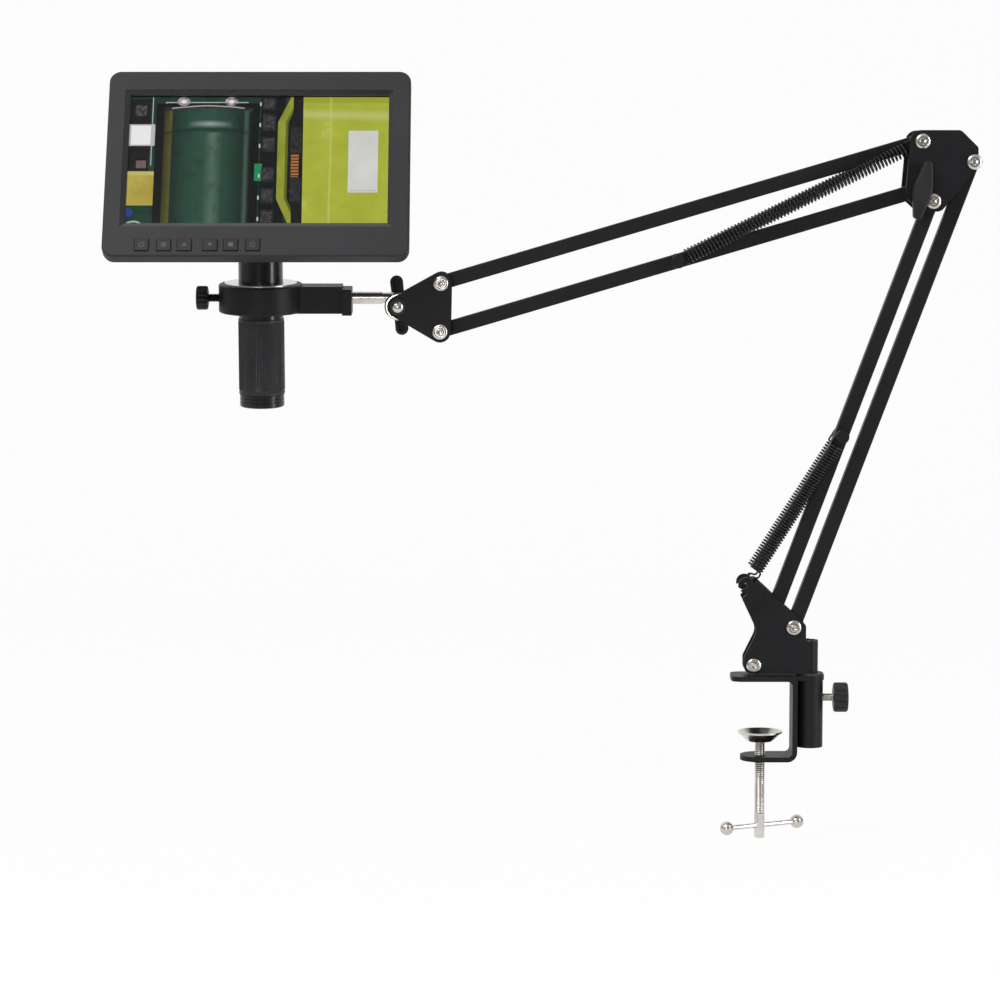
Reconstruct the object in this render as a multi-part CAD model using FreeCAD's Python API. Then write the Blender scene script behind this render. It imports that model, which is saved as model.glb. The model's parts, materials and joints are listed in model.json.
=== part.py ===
"""Display microscope held in a ring at the end of a two-section sprung boom with a desk clamp.

Millimetres. X runs along the boom, Y away from the front, Z up. The origin is on the underside
of the clamp's top jaw, above the clamp screw's axis. The boom lies in the plane Y = 0.
"""
import FreeCAD, Part
import math
import os

# Fits
RUN_FIT = 0.05            # radial clearance of pins, screws and turning sleeves
OPEN_FIT = 0.30           # radial clearance at the two pivots that close a parallelogram
SIDE_GAP = 0.10           # end play beside washers, sleeves and knuckles

# Square boom tubes
ARM_REACH = 298.0         # pivot to pivot
TUBE_SIDE = 8.6
TUBE_WALL = 1.0
TUBE_ROUND = 0.8
LOWER_LEAN = 20.5         # degrees from upright, top to the right
UPPER_RISE = 16.4         # degrees above level, towards the elbow
LOWER_LINK = (24.0, 23.2)      # link pivot to main pivot in the base and in the elbow
UPPER_LINK = (0.6, 28.8)       # link pivot to main pivot in the elbow and at the boom's end
ELBOW_STEP = (-30.7, 12.2)     # lower arm's main pivot to the upper arm's main pivot
SPRING_PIN_LOWER = 148.0       # along the lower link tube from its base pivot
SPRING_PIN_UPPER = 150.0       # along the upper link tube from its elbow pivot

# Sheet brackets
SHEET = 2.0
WIDE_GAP = 22.0           # between the plates of the elbow and of the boom's end
BOLT = 5.0
BOLT_HEAD = 9.3
BOLT_HEAD_TALL = 2.75
NUT_FLATS = 8.0
NUT_TALL = 4.0
WASHER = 9.0
SLEEVE = 6.0

# Clamp
JAW_GAP = 46.0
JAW_REACH = 18.7          # screw axis to the upright's inner face
JAW_STEEL = 3.0
JAW_WIDE = 24.0
JAW_TIP = 18.0            # top jaw's reach past the screw axis
JAW_BEND = 3.0
SCREW = 6.4
SCREW_TOP = -36.6         # where the screw enters the pad
SCREW_END = -97.0
SCREW_FLAT = 15.0         # flattened end with the bar hole
PAD = 26.8
PAD_TALL = 6.0
PAD_SHEET = 1.0
BAR = 3.0
BAR_SPAN = 49.7           # ball to ball
BAR_BALL = 8.4
BAR_TURN = 27.3           # degrees
BAR_SHIFT = 1.9
SOCKET = 16.2
SOCKET_DEEP = 41.0
POST = 9.8
POST_WALL = 1.5
POST_TOP = 24.0
POST_IN_SOCKET = 38.0
SWIVEL_WASHER = 1.2
LOCK_DROP = 11.0          # clamp socket's lock screw under the jaw
LOCK_SCREW = 5.0
LOCK_OUT = 6.2            # bare screw between the socket and its knob
LOCK_KNOB = 17.9
LOCK_KNOB_TALL = 8.8

# Base bracket, measured from the link pivot
LINK_FROM_POST = -34.3
LINK_OVER_JAW = 6.1
EAR = (-5.1, 49.2)
EAR_RADIUS = 4.8
EAR_HOLE = 1.5
EAR_SLOT = 2.2
EAR_STEP = 4.0            # length of the bend that carries the ear outwards

# Tension springs
COIL = 8.6                # outside diameter
WIRE = 1.2
COIL_PLANE = 9.3          # spring axis from the middle plane
COIL_SIDES = 5            # sides of the wire's section
LOWER_CURLS = 12
UPPER_CURLS = 15
LOWER_COIL_START = 8.4    # from the ear
LOWER_COIL_STOP = 6.4     # from the spring pin
UPPER_COIL_START = 6.4    # from the spring pin
UPPER_COIL_STOP = 11.4    # from the elbow bolt
HOOK_SWEEP = 285.0        # degrees of hook round a bolt

# Boom end and knuckle, measured from the boom end's main pivot
KNUCKLE_AT = (-25.6, -14.1)
NOSE_RADIUS = 6.4
EYE_RADIUS = 8.2
EYE_WIDE = 10.0
HUB_RADIUS = 5.4
ROD = 7.5
ROD_OVER = 5.1            # rod axis above the knuckle bolt
ROD_START = -3.0          # from the knuckle bolt
ROD_NECK = 9.5            # where the rod steps up to full size
RING_FROM_KNUCKLE = -82.3

# Holder, in its own frame: origin on the rod axis at the ring's centre
HEAD_LEAN = 5.0           # degrees that the head is turned towards the viewer about the rod
RING = 50.4
RING_LOW = -8.2
RING_TALL = 16.8
ADAPTER = 42.2
ADAPTER_LIP = 0.7
ADAPTER_LIP_WIDE = 43.4
ARM_WIDE = 17.0
ARM_LOW = -8.6
ARM_TALL = 16.2
BLOCK_FROM_RING = 48.9
BLOCK_LONG = 5.6
BLOCK_WIDE = 21.0
BLOCK_LOW = -9.6
BLOCK_TALL = 15.6
RING_SCREW = 5.0
RING_SCREW_OUT = 6.2
RING_KNOB = 14.3
RING_KNOB_TALL = 7.2

# Microscope body
BARREL = 26.6
BARREL_WALL = 2.2
GRIP = 27.6
GRIP_TOP = -12.1
GRIP_LONG = 45.8
GRIP_RIBS = 40
GRIP_SLEEVE = 23.6        # barrel's turned-down part inside the grip
TIP = 26.7
TIP_LONG = 7.4
TIP_MOUTH = 22.0
CELL = 17.0
CELL_LONG = 34.0
LENS = 13.0
LENS_THICK = 4.0

# Monitor, in its own frame: front face on Y = 0, bottom edge on Z = 0
MONITOR_WIDE = 180.0
MONITOR_TALL = 124.4
MONITOR_TILT = 34.0       # degrees back from the barrel's axis
MONITOR_AT = (-47.5, 30.5)     # bottom front edge from the ring's centre, Y and Z
MONITOR_CORNER = 7.0
BEZEL_DEEP = 7.0
CASE_DEEP = 22.0
CASE_WALL = 2.0
CASE_INSET = 7.0
CASE_TAPER = 4.0
VIEW_WIDE = 154.0
VIEW_TALL = 86.0
VIEW_LOW = 22.6           # bezel under the view, measured inside its bevel
BEVEL = 3.3
BEVEL_DEEP = 1.6
GLASS = 1.1
PANEL_THICK = 3.4
PANEL_EDGE = 3.0
BOARD_THICK = 1.6
NECK_BOSS = 34.0
NECK_BOSS_LOW = 30.0
BUTTON_WIDE = 8.4
BUTTON_TALL = 7.7
BUTTON_OUT = 0.8
BUTTON_FIT = 0.25
BUTTON_FLANGE = 0.9
BUTTON_TRAVEL = 0.6
BUTTON_ROW = 7.2          # row's height over the bottom edge
BUTTON_X = (-66.4, -53.5, -41.4, -26.3, -14.3, -1.4)
CASE_SCREW = 3.0

# Worked out from the sizes above
HALF_TUBE = TUBE_SIDE / 2
NARROW_GAP = POST
WIDE_OUT = WIDE_GAP / 2 + SHEET
NARROW_OUT = NARROW_GAP / 2 + SHEET
SOCKET_X = JAW_REACH + JAW_STEEL + SOCKET / 2
COIL_RADIUS = (COIL - WIRE) / 2
HOOK_SLACK = COIL_RADIUS - (WIRE + SLEEVE) / 2 - 0.02
EAR_HANG = EAR_HOLE - WIRE / 2 - 0.05


def plus(a, b):
    """Sum of two points in the boom's plane."""
    return (a[0] + b[0], a[1] + b[1])


def along(start, direction, distance):
    """Point at a distance from a start along a unit direction."""
    return (start[0] + direction[0] * distance, start[1] + direction[1] * distance)


def unit(start, end):
    """Unit direction and distance from one point to another."""
    across = (end[0] - start[0], end[1] - start[1])
    length = math.hypot(*across)
    return (across[0] / length, across[1] / length), length


LOWER_WAY = (math.sin(math.radians(LOWER_LEAN)), math.cos(math.radians(LOWER_LEAN)))
UPPER_WAY = (-math.cos(math.radians(UPPER_RISE)), -math.sin(math.radians(UPPER_RISE)))
BASE_LINK = (SOCKET_X + LINK_FROM_POST, JAW_STEEL + LINK_OVER_JAW)
BASE_MAIN = plus(BASE_LINK, LOWER_LINK)
ELBOW_LINK = along(BASE_LINK, LOWER_WAY, ARM_REACH)
ELBOW_MAIN = plus(ELBOW_LINK, LOWER_LINK)
UPPER_MAIN = plus(ELBOW_MAIN, ELBOW_STEP)
UPPER_LOW = (UPPER_MAIN[0] - UPPER_LINK[0], UPPER_MAIN[1] - UPPER_LINK[1])
END_MAIN = along(UPPER_MAIN, UPPER_WAY, ARM_REACH)
END_LINK = along(UPPER_LOW, UPPER_WAY, ARM_REACH)
KNUCKLE = plus(END_MAIN, KNUCKLE_AT)
LOWER_PIN = along(BASE_LINK, LOWER_WAY, SPRING_PIN_LOWER)
UPPER_PIN = along(UPPER_LOW, UPPER_WAY, SPRING_PIN_UPPER)
EAR_AT = plus(BASE_LINK, EAR)
HEAD_AT = FreeCAD.Vector(KNUCKLE[0] + RING_FROM_KNUCKLE, 0, KNUCKLE[1] + ROD_OVER)

X_WAY = FreeCAD.Vector(1, 0, 0)
Y_WAY = FreeCAD.Vector(0, 1, 0)
Z_WAY = FreeCAD.Vector(0, 0, 1)


def vec(x, y, z):
    return FreeCAD.Vector(x, y, z)


def box(x0, x1, y0, y1, z0, z1):
    """Block between two opposite corners."""
    return Part.makeBox(x1 - x0, y1 - y0, z1 - z0, vec(x0, y0, z0))


def rod(radius, base, way, length):
    """Cylinder from a base point along a direction."""
    return Part.makeCylinder(radius, length, base, way)


def sleeve(outer, inner, base, way, length):
    """Round tube, given by radii."""
    return rod(outer, base, way, length).cut(rod(inner, base, way, length))


def pin(point, radius, y0, y1):
    """Cylinder across the boom at a point of its plane."""
    return rod(radius, vec(point[0], y0, point[1]), Y_WAY, y1 - y0)


def spun(profile):
    """Solid of revolution about Z from (radius, height) corners."""
    corners = [vec(r, 0, z) for r, z in profile]
    face = Part.Face(Part.makePolygon(corners + corners[:1]))
    return face.revolve(vec(0, 0, 0), Z_WAY, 360)


def rounded_wire(corners, y):
    """Closed outline at a depth y through (x, z, radius) corners, each corner an arc of its radius."""
    edges = []
    ends = []
    count = len(corners)
    for i in range(count):
        x, z, radius = corners[i]
        at = vec(x, y, z)
        before = vec(corners[i - 1][0], y, corners[i - 1][1]) - at
        after = vec(corners[(i + 1) % count][0], y, corners[(i + 1) % count][1]) - at
        half = before.getAngle(after) / 2
        cut = min(radius / math.tan(half), 0.499 * min(before.Length, after.Length))
        radius = cut * math.tan(half)
        before.normalize()
        after.normalize()
        if radius < 1e-6:
            ends.append((at, at))
            continue
        middle = before + after
        middle.normalize()
        centre = at + middle * (radius / math.sin(half))
        first = at + before * cut
        last = at + after * cut
        edges.append(Part.Arc(first, centre - middle * radius, last).toShape())
        ends.append((first, last))
    for i in range(count):
        start = ends[i][1]
        stop = ends[(i + 1) % count][0]
        if start.distanceToPoint(stop) > 1e-6:
            edges.append(Part.makeLine(start, stop))
    return Part.Wire(Part.__sortEdges__(edges))


def plate(corners, y0, y1):
    """Flat piece across the boom, from its rounded outline."""
    return Part.Face(rounded_wire(corners, y0)).extrude(vec(0, y1 - y0, 0))


def hull_of_circles(centres, radius, y0, y1):
    """Flat piece round three equal circles, given anticlockwise."""
    core = Part.Face(Part.makePolygon([vec(x, y0, z) for x, z in centres + centres[:1]]))
    piece = core.extrude(vec(0, y1 - y0, 0))
    for i, centre in enumerate(centres):
        way, length = unit(centres[i - 1], centre)
        side = (way[1] * radius, -way[0] * radius)
        strip = [centres[i - 1], centre, plus(centre, side), plus(centres[i - 1], side)]
        face = Part.Face(Part.makePolygon([vec(x, y0, z) for x, z in strip + strip[:1]]))
        piece = piece.fuse(face.extrude(vec(0, y1 - y0, 0)))
        piece = piece.fuse(pin(centre, radius, y0, y1))
    return piece.removeSplitter()


def mirrored(shape):
    """The same piece on the other side of the boom's plane."""
    return shape.mirror(vec(0, 0, 0), Y_WAY)


def both_sides(shape):
    """A piece and its mirror image."""
    return [shape, mirrored(shape)]


def button_bolt(point, y_head, y_nut):
    """Button-head bolt across the boom with a hexagon nut at the back: two solids."""
    head = spun([(0, 0), (BOLT_HEAD / 2, 0), (BOLT_HEAD / 2, 0.6), (BOLT_HEAD / 2 - 0.9, 1.7),
                 (BOLT_HEAD / 2 - 2.2, BOLT_HEAD_TALL), (0, BOLT_HEAD_TALL)])
    head = head.cut(hexagon(3.0, 1.0, BOLT_HEAD_TALL))
    head.rotate(vec(0, 0, 0), X_WAY, 90)
    head.translate(vec(point[0], y_head, point[1]))
    shank = pin(point, BOLT / 2, y_head, y_nut + NUT_TALL + 0.8)
    nut = hexagon(NUT_FLATS, 0, NUT_TALL).cut(rod(BOLT / 2, vec(0, 0, 0), Z_WAY, NUT_TALL))
    nut.rotate(vec(0, 0, 0), X_WAY, -90)
    nut.translate(vec(point[0], y_nut, point[1]))
    return [head.fuse(shank), nut]


def hexagon(flats, z0, z1):
    """Hexagonal prism about Z, given across its flats."""
    radius = flats / math.sqrt(3)
    corners = [vec(radius * math.cos(math.radians(60 * i)), radius * math.sin(math.radians(60 * i)), z0)
               for i in range(6)]
    return Part.Face(Part.makePolygon(corners + corners[:1])).extrude(vec(0, 0, z1 - z0))


def fluted_knob(radius, tall, lobes, bore):
    """Hand knob standing on Z = 0 with scalloped sides and a bore right through."""
    knob = rod(radius, vec(0, 0, 0), Z_WAY, tall)
    knob = knob.makeChamfer(0.8, [e for e in knob.Edges if len(e.Vertexes) == 1])
    scallop = radius * 0.16
    for i in range(lobes):
        turn = math.radians(360 / lobes * i)
        reach = radius + scallop * 0.55
        knob = knob.cut(rod(scallop, vec(reach * math.cos(turn), reach * math.sin(turn), 0), Z_WAY, tall))
    return knob.cut(rod(bore, vec(0, 0, 0), Z_WAY, tall))


def square_tube(start, way, holes):
    """Boom tube from its first pivot, with (distance, radius) cross holes."""
    outer = box(-HALF_TUBE, ARM_REACH + HALF_TUBE, -HALF_TUBE, HALF_TUBE, -HALF_TUBE, HALF_TUBE)
    edges = [e for e in outer.Edges if e.Length > ARM_REACH]
    outer = outer.makeFillet(TUBE_ROUND, edges)
    inside = HALF_TUBE - TUBE_WALL
    tube = outer.cut(box(-TUBE_SIDE, ARM_REACH + TUBE_SIDE, -inside, inside, -inside, inside))
    ends = plate([(-HALF_TUBE, -HALF_TUBE, HALF_TUBE), (ARM_REACH + HALF_TUBE, -HALF_TUBE, HALF_TUBE),
                  (ARM_REACH + HALF_TUBE, HALF_TUBE, HALF_TUBE), (-HALF_TUBE, HALF_TUBE, HALF_TUBE)],
                 -TUBE_SIDE, TUBE_SIDE)
    tube = tube.common(ends)
    for distance, radius in holes:
        tube = tube.cut(pin((distance, 0), radius, -TUBE_SIDE, TUBE_SIDE))
    tube.rotate(vec(0, 0, 0), Y_WAY, -math.degrees(math.atan2(way[1], way[0])))
    tube.translate(vec(start[0], 0, start[1]))
    return tube


def clamp_nodes():
    """Desk clamp: bent strip, socket tube, pad, screw and its bar."""
    top_out = JAW_REACH + JAW_STEEL
    half = JAW_WIDE / 2
    frame = plate([(-JAW_TIP, JAW_STEEL, 0), (top_out, JAW_STEEL, 0.5),
                   (top_out, -JAW_GAP - JAW_STEEL, JAW_BEND + JAW_STEEL),
                   (-half, -JAW_GAP - JAW_STEEL, 0), (-half, -JAW_GAP, 0),
                   (JAW_REACH, -JAW_GAP, JAW_BEND), (JAW_REACH, 0, JAW_BEND), (-JAW_TIP, 0, 0)],
                  -half, half)
    plan = box(-JAW_TIP, top_out, -half, half, -JAW_GAP - 2 * JAW_STEEL, 2 * JAW_STEEL)
    corners = [e for e in plan.Edges if abs(e.CenterOfMass.x + JAW_TIP) < 1e-6
               and e.Length > JAW_GAP]
    frame = frame.common(plan.makeFillet(6.0, corners))
    tongue = box(-half, 0, -half, half, -JAW_GAP - 2 * JAW_STEEL, -JAW_GAP + JAW_STEEL)
    frame = frame.cut(tongue.cut(rod(half, vec(0, 0, -2 * JAW_GAP), Z_WAY, 2 * JAW_GAP)))
    collar = SOCKET / 2 + 0.6
    frame = frame.fuse(box(top_out - 0.5, SOCKET_X, -collar, collar, 0, JAW_STEEL))
    frame = frame.fuse(rod(collar, vec(SOCKET_X, 0, 0), Z_WAY, JAW_STEEL))
    frame = frame.cut(rod(POST / 2 + RUN_FIT, vec(SOCKET_X, 0, -1), Z_WAY, 2 * JAW_STEEL))
    frame = frame.cut(rod(SCREW / 2 + RUN_FIT, vec(0, 0, -JAW_GAP - 2 * JAW_STEEL), Z_WAY, 3 * JAW_STEEL))

    socket = sleeve(SOCKET / 2, POST / 2 + RUN_FIT, vec(SOCKET_X, 0, -SOCKET_DEEP), Z_WAY, SOCKET_DEEP)
    socket = socket.cut(rod(LOCK_SCREW / 2 + RUN_FIT, vec(SOCKET_X, 0, -LOCK_DROP), X_WAY, SOCKET))

    knob_x = SOCKET_X + SOCKET / 2 + LOCK_OUT
    knob = fluted_knob(LOCK_KNOB / 2, LOCK_KNOB_TALL, 12, LOCK_SCREW / 2)
    knob.rotate(vec(0, 0, 0), Y_WAY, 90)
    knob.translate(vec(knob_x, 0, -LOCK_DROP))
    start = SOCKET_X + POST / 2 + SIDE_GAP
    screw = rod(LOCK_SCREW / 2, vec(start, 0, -LOCK_DROP), X_WAY, knob_x + LOCK_KNOB_TALL - 1 - start)

    neck = SCREW / 2 - 0.8
    floor = SCREW_TOP - PAD_SHEET
    rim = SCREW_TOP + PAD_TALL - PAD_SHEET
    pad = spun([(neck + RUN_FIT, floor), (7.6, floor), (8.6, floor + 0.8), (PAD / 2, rim - 0.9),
                (PAD / 2, rim), (PAD / 2 - 1.2, rim), (8.0, SCREW_TOP), (neck + RUN_FIT, SCREW_TOP)])
    spindle = rod(SCREW / 2, vec(0, 0, SCREW_END), Z_WAY, floor - SIDE_GAP - SCREW_END)
    spindle = spindle.fuse(rod(neck, vec(0, 0, floor - 1), Z_WAY, PAD_SHEET + 2))
    spindle = spindle.fuse(Part.makeCone(neck + 1.8, neck + 0.8, 1.2, vec(0, 0, SCREW_TOP + SIDE_GAP), Z_WAY))
    cheek = SCREW / 2 - 0.7
    flat = SCREW_END + SCREW_FLAT
    for side in (-1, 1):
        y0 = min(side * cheek, side * SCREW)
        spindle = spindle.cut(box(-SCREW, SCREW, y0, y0 + SCREW - cheek, SCREW_END - 1, flat))
    bar_z = SCREW_END + SCREW_FLAT / 2
    spindle = spindle.cut(rod(BAR / 2 + RUN_FIT, vec(0, -SCREW, bar_z), Y_WAY, 2 * SCREW))
    bar = rod(BAR / 2, vec(0, -BAR_SPAN / 2, bar_z), Y_WAY, BAR_SPAN)
    for side in (-1, 1):
        ball = Part.makeSphere(BAR_BALL / 2, vec(0, side * BAR_SPAN / 2, bar_z))
        bar = bar.fuse(ball)
    bar.translate(vec(0, BAR_SHIFT, 0))
    for piece in (spindle, bar):
        piece.rotate(vec(0, 0, 0), Z_WAY, BAR_TURN - 90)
    return {"clamp_frame": [frame], "clamp_socket": [socket], "base_lock_knob": [knob],
            "base_lock_screw": [screw], "clamp_pad": [pad], "clamp_screw": [spindle],
            "tommy_bar": [bar]}


def base_nodes():
    """Swivel post with two welded cheeks, their ears for the springs, and the two pivots."""
    x0, z0 = BASE_LINK
    washer_top = JAW_STEEL + SWIVEL_WASHER
    foot = washer_top + SIDE_GAP
    outline = [(x0 - 6.0, foot, 4.5), (SOCKET_X, foot, 0), (SOCKET_X, POST_TOP, 0),
               (x0 + 31.4, POST_TOP, 1.0), (x0 + 31.4, z0 + 24.6, 3.0), (x0 + 0.2, z0 + 53.3, 3.0),
               (x0 - 2.6, z0 + 46.0, 2.0), (x0 - 7.4, z0 + 41.2, 0.6), (x0 + 1.9, z0 + 21.1, 8.0),
               (x0 - 6.0, z0 + 5.0, 4.0)]
    crease = (x0 + 1.4, z0 + 33.3)
    way, _ = unit(plus(BASE_LINK, (-0.4, 31.8)), plus(BASE_LINK, (10.4, 41.8)))
    normal = (-way[1], way[0])
    inner = NARROW_GAP / 2
    ear_inner = COIL_PLANE - SHEET / 2
    far = 120.0
    section = [(-far, inner), (0, inner), (EAR_STEP, ear_inner), (far, ear_inner),
               (far, ear_inner + SHEET), (EAR_STEP, ear_inner + SHEET), (0, inner + SHEET),
               (-far, inner + SHEET)]
    corners = []
    for reach, depth in section:
        at = along(crease, normal, reach)
        corners.append(vec(at[0] - way[0] * far, -depth, at[1] - way[1] * far))
    bent = Part.Face(Part.makePolygon(corners + corners[:1]))
    bent = bent.extrude(vec(way[0] * 2 * far, 0, way[1] * 2 * far))
    front = plate(outline, -20, 0).fuse(pin(EAR_AT, EAR_RADIUS, -20, 0))
    slot_way, _ = unit((0, 0), (-0.85, -0.5))
    side = (-slot_way[1] * EAR_SLOT / 2, slot_way[0] * EAR_SLOT / 2)
    mouth = along(EAR_AT, slot_way, 2 * EAR_RADIUS)
    slot = [plus(EAR_AT, side), plus(mouth, side), plus(mouth, (-side[0], -side[1])),
            plus(EAR_AT, (-side[0], -side[1]))]
    front = front.cut(plate([(x, z, 0) for x, z in slot], -21, 1))
    front = front.cut(pin(EAR_AT, EAR_HOLE, -21, 1))
    for pivot in (BASE_LINK, BASE_MAIN):
        front = front.cut(pin(pivot, BOLT / 2 + RUN_FIT, -21, 1))
    front = front.common(bent)

    post = sleeve(POST / 2, POST / 2 - POST_WALL, vec(SOCKET_X, 0, -POST_IN_SOCKET), Z_WAY,
                  POST_IN_SOCKET + POST_TOP)
    swivel = sleeve(SOCKET / 2, POST / 2 + RUN_FIT, vec(SOCKET_X, 0, JAW_STEEL), Z_WAY, SWIVEL_WASHER)
    fasteners = []
    washers = [swivel]
    thick = NARROW_GAP / 2 - HALF_TUBE - SIDE_GAP
    for pivot in (BASE_LINK, BASE_MAIN):
        fasteners += button_bolt(pivot, -NARROW_OUT, NARROW_OUT)
        ring = pin(pivot, WASHER / 2, 0, thick).cut(pin(pivot, BOLT / 2 + RUN_FIT, 0, thick))
        ring.translate(vec(0, -NARROW_GAP / 2, 0))
        washers += both_sides(ring)
    return {"post": [post], "base_cheek_front": [front], "base_cheek_rear": [mirrored(front)],
            "base_fasteners": fasteners, "base_washers": washers}


def lower_arm_nodes():
    """Lower parallelogram: main tube, link tube and the spring pin through the link tube."""
    tight = BOLT / 2 + RUN_FIT
    main = square_tube(BASE_MAIN, LOWER_WAY, [(0, tight), (ARM_REACH, tight)])
    link = square_tube(BASE_LINK, LOWER_WAY,
                       [(0, tight), (SPRING_PIN_LOWER, BOLT / 2), (ARM_REACH, BOLT / 2 + OPEN_FIT)])
    return {"lower_main_tube": [main], "lower_link_tube": [link],
            "lower_spring_bolt": [spring_pin(LOWER_PIN)]}


def spring_pin(point):
    """Black pin through a tube with a flat head past each spring hook."""
    reach = COIL_PLANE + WIRE / 2 + SIDE_GAP
    head = 8.0
    piece = pin(point, BOLT / 2, -reach, reach)
    for side in both_sides(pin(point, SLEEVE / 2, HALF_TUBE + SIDE_GAP, reach)):
        piece = piece.fuse(side)
    for side in both_sides(pin(point, head / 2, reach, reach + 2.2)):
        piece = piece.fuse(side)
    return piece


def elbow_nodes():
    """Elbow plates with bolts, spacer sleeves and the lock knob on the link pivot."""
    x0, z0 = UPPER_MAIN
    corners = [(-7.0, 6.6, 6.4), (22.6, 6.6, 4.0), (33.0, -3.6, 3.0), (33.0, -15.8, 3.0),
               (11.2, -41.6, 5.0), (-1.0, -41.6, 6.0), (-10.2, -33.0, 5.0)]
    outline = [(x0 + x, z0 + z, radius) for x, z, radius in corners]
    front = plate(outline, -WIDE_OUT, -WIDE_GAP / 2)
    for pivot in (UPPER_MAIN, UPPER_LOW, ELBOW_MAIN, ELBOW_LINK):
        front = front.cut(pin(pivot, BOLT / 2 + RUN_FIT, -20, 0))
    fasteners = []
    for pivot in (UPPER_MAIN, ELBOW_MAIN, ELBOW_LINK):
        fasteners += button_bolt(pivot, -WIDE_OUT, WIDE_OUT)
    sleeves = []
    for pivot in (UPPER_MAIN, UPPER_LOW, ELBOW_MAIN, ELBOW_LINK):
        sleeves += spacer_pair(pivot)
    knob_y = WIDE_OUT + BOLT_HEAD_TALL + 0.6
    wing_bolt = pin(UPPER_LOW, BOLT / 2, -knob_y - 4.0, WIDE_OUT)
    wing_bolt = wing_bolt.fuse(pin(UPPER_LOW, 5.6, WIDE_OUT, WIDE_OUT + 2.2))
    knob = wing_knob(WIDE_OUT + SIDE_GAP, knob_y)
    knob.translate(vec(UPPER_LOW[0], 0, UPPER_LOW[1]))
    return {"elbow_plate_front": [front], "elbow_plate_rear": [mirrored(front)],
            "elbow_fasteners": fasteners + [wing_bolt], "elbow_sleeves": sleeves,
            "elbow_wing_knob": [knob]}


def spacer_pair(pivot):
    """Spacer sleeves on a bolt, one on each side of the tube."""
    start = HALF_TUBE + SIDE_GAP
    stop = WIDE_GAP / 2
    half = pin(pivot, SLEEVE / 2, start, stop).cut(pin(pivot, BOLT / 2 + RUN_FIT, start, stop))
    return both_sides(half)


def wing_knob(y_seat, y_wing):
    """Long lens-shaped wing knob on the front, on the axis X = Z = 0, with its hub behind."""
    long = 17.4
    wide = 5.4
    thick = 6.4
    tip = 2.3
    half = [(-tip, long, 2.0), (tip, long, 2.0), (wide, 3.0, 14.0)]
    outline = half + [(wide, -3.0, 14.0), (tip, -long, 2.0), (-tip, -long, 2.0),
                      (-wide, -3.0, 14.0), (-wide, 3.0, 14.0)]
    wing = plate(outline, -thick, 0)
    wing = wing.makeFillet(1.2, [e for e in wing.Edges if e.BoundBox.YMax < 1e-3 - thick])
    wing.rotate(vec(0, 0, 0), Y_WAY, 11.0)
    wing.translate(vec(0, -y_wing, 0))
    knob = wing.fuse(pin((0, 0), wide - 0.4, -y_wing - 0.5, -y_seat))
    return knob.cut(pin((0, 0), BOLT / 2 + RUN_FIT, -y_wing - 4.2, -y_seat))


def upper_arm_nodes():
    """Upper parallelogram: main tube, link tube and the spring pin through the link tube."""
    tight = BOLT / 2 + RUN_FIT
    main = square_tube(UPPER_MAIN, UPPER_WAY, [(0, tight), (ARM_REACH, tight)])
    link = square_tube(UPPER_LOW, UPPER_WAY,
                       [(0, tight), (SPRING_PIN_UPPER, BOLT / 2), (ARM_REACH, BOLT / 2 + OPEN_FIT)])
    return {"upper_main_tube": [main], "upper_link_tube": [link],
            "upper_spring_bolt": [spring_pin(UPPER_PIN)]}


def end_nodes():
    """Three-cornered plates at the boom's end with bolts, sleeves and a hollow wing nut behind."""
    corners = [END_MAIN, KNUCKLE, END_LINK]
    front = hull_of_circles(corners, NOSE_RADIUS, -WIDE_OUT, -WIDE_GAP / 2)
    for pivot in corners:
        front = front.cut(pin(pivot, BOLT / 2 + RUN_FIT, -20, 0))
    fasteners = []
    sleeves = []
    for pivot in (END_MAIN, END_LINK):
        fasteners += button_bolt(pivot, -WIDE_OUT, WIDE_OUT)
        sleeves += spacer_pair(pivot)
    pivot_bolt = pin(KNUCKLE, BOLT / 2, -WIDE_OUT, WIDE_OUT + 10.0)
    collar = pin(KNUCKLE, 4.8, -WIDE_OUT - 0.8, -WIDE_OUT)
    dome = Part.makeSphere(5.0, vec(KNUCKLE[0], -WIDE_OUT + 2.2, KNUCKLE[1]))
    dome = dome.common(pin(KNUCKLE, 3.6, -WIDE_OUT - 3.4, -WIDE_OUT - 0.5))
    pivot_bolt = pivot_bolt.fuse(collar).fuse(dome)
    nut = hollow_wing_nut(WIDE_OUT + SIDE_GAP)
    nut.translate(vec(KNUCKLE[0], 0, KNUCKLE[1]))
    return {"end_plate_front": [front], "end_plate_rear": [mirrored(front)],
            "end_fasteners": fasteners + [pivot_bolt], "end_sleeves": sleeves,
            "end_wing_nut": [nut]}


def hollow_wing_nut(y_seat):
    """Wing nut behind the boom's end: a hub and two rimmed wings, each with a web at its back."""
    tall = 9.0
    web = 1.6
    hub = Part.makeCone(6.0, 4.6, tall, vec(0, y_seat, 0), Y_WAY)
    nut = hub
    for side in (0, 180):
        outline = [(-3.6, 3.0, 0), (3.6, 3.0, 0), (4.0, 18.0, 3.9), (-4.0, 18.0, 3.9)]
        hollow = [(-1.8, 7.0, 0.5), (1.8, 7.0, 0.5), (2.3, 16.3, 2.2), (-2.3, 16.3, 2.2)]
        wing = plate(outline, y_seat + 2.0, y_seat + 7.0).cut(plate(hollow, y_seat + 1.0, y_seat + 7.0 - web))
        wing.rotate(vec(0, 0, 0), Y_WAY, side - 6.5)
        nut = nut.fuse(wing)
    return nut.cut(pin((0, 0), BOLT / 2 + RUN_FIT, y_seat - 1, y_seat + tall + 1))


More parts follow.
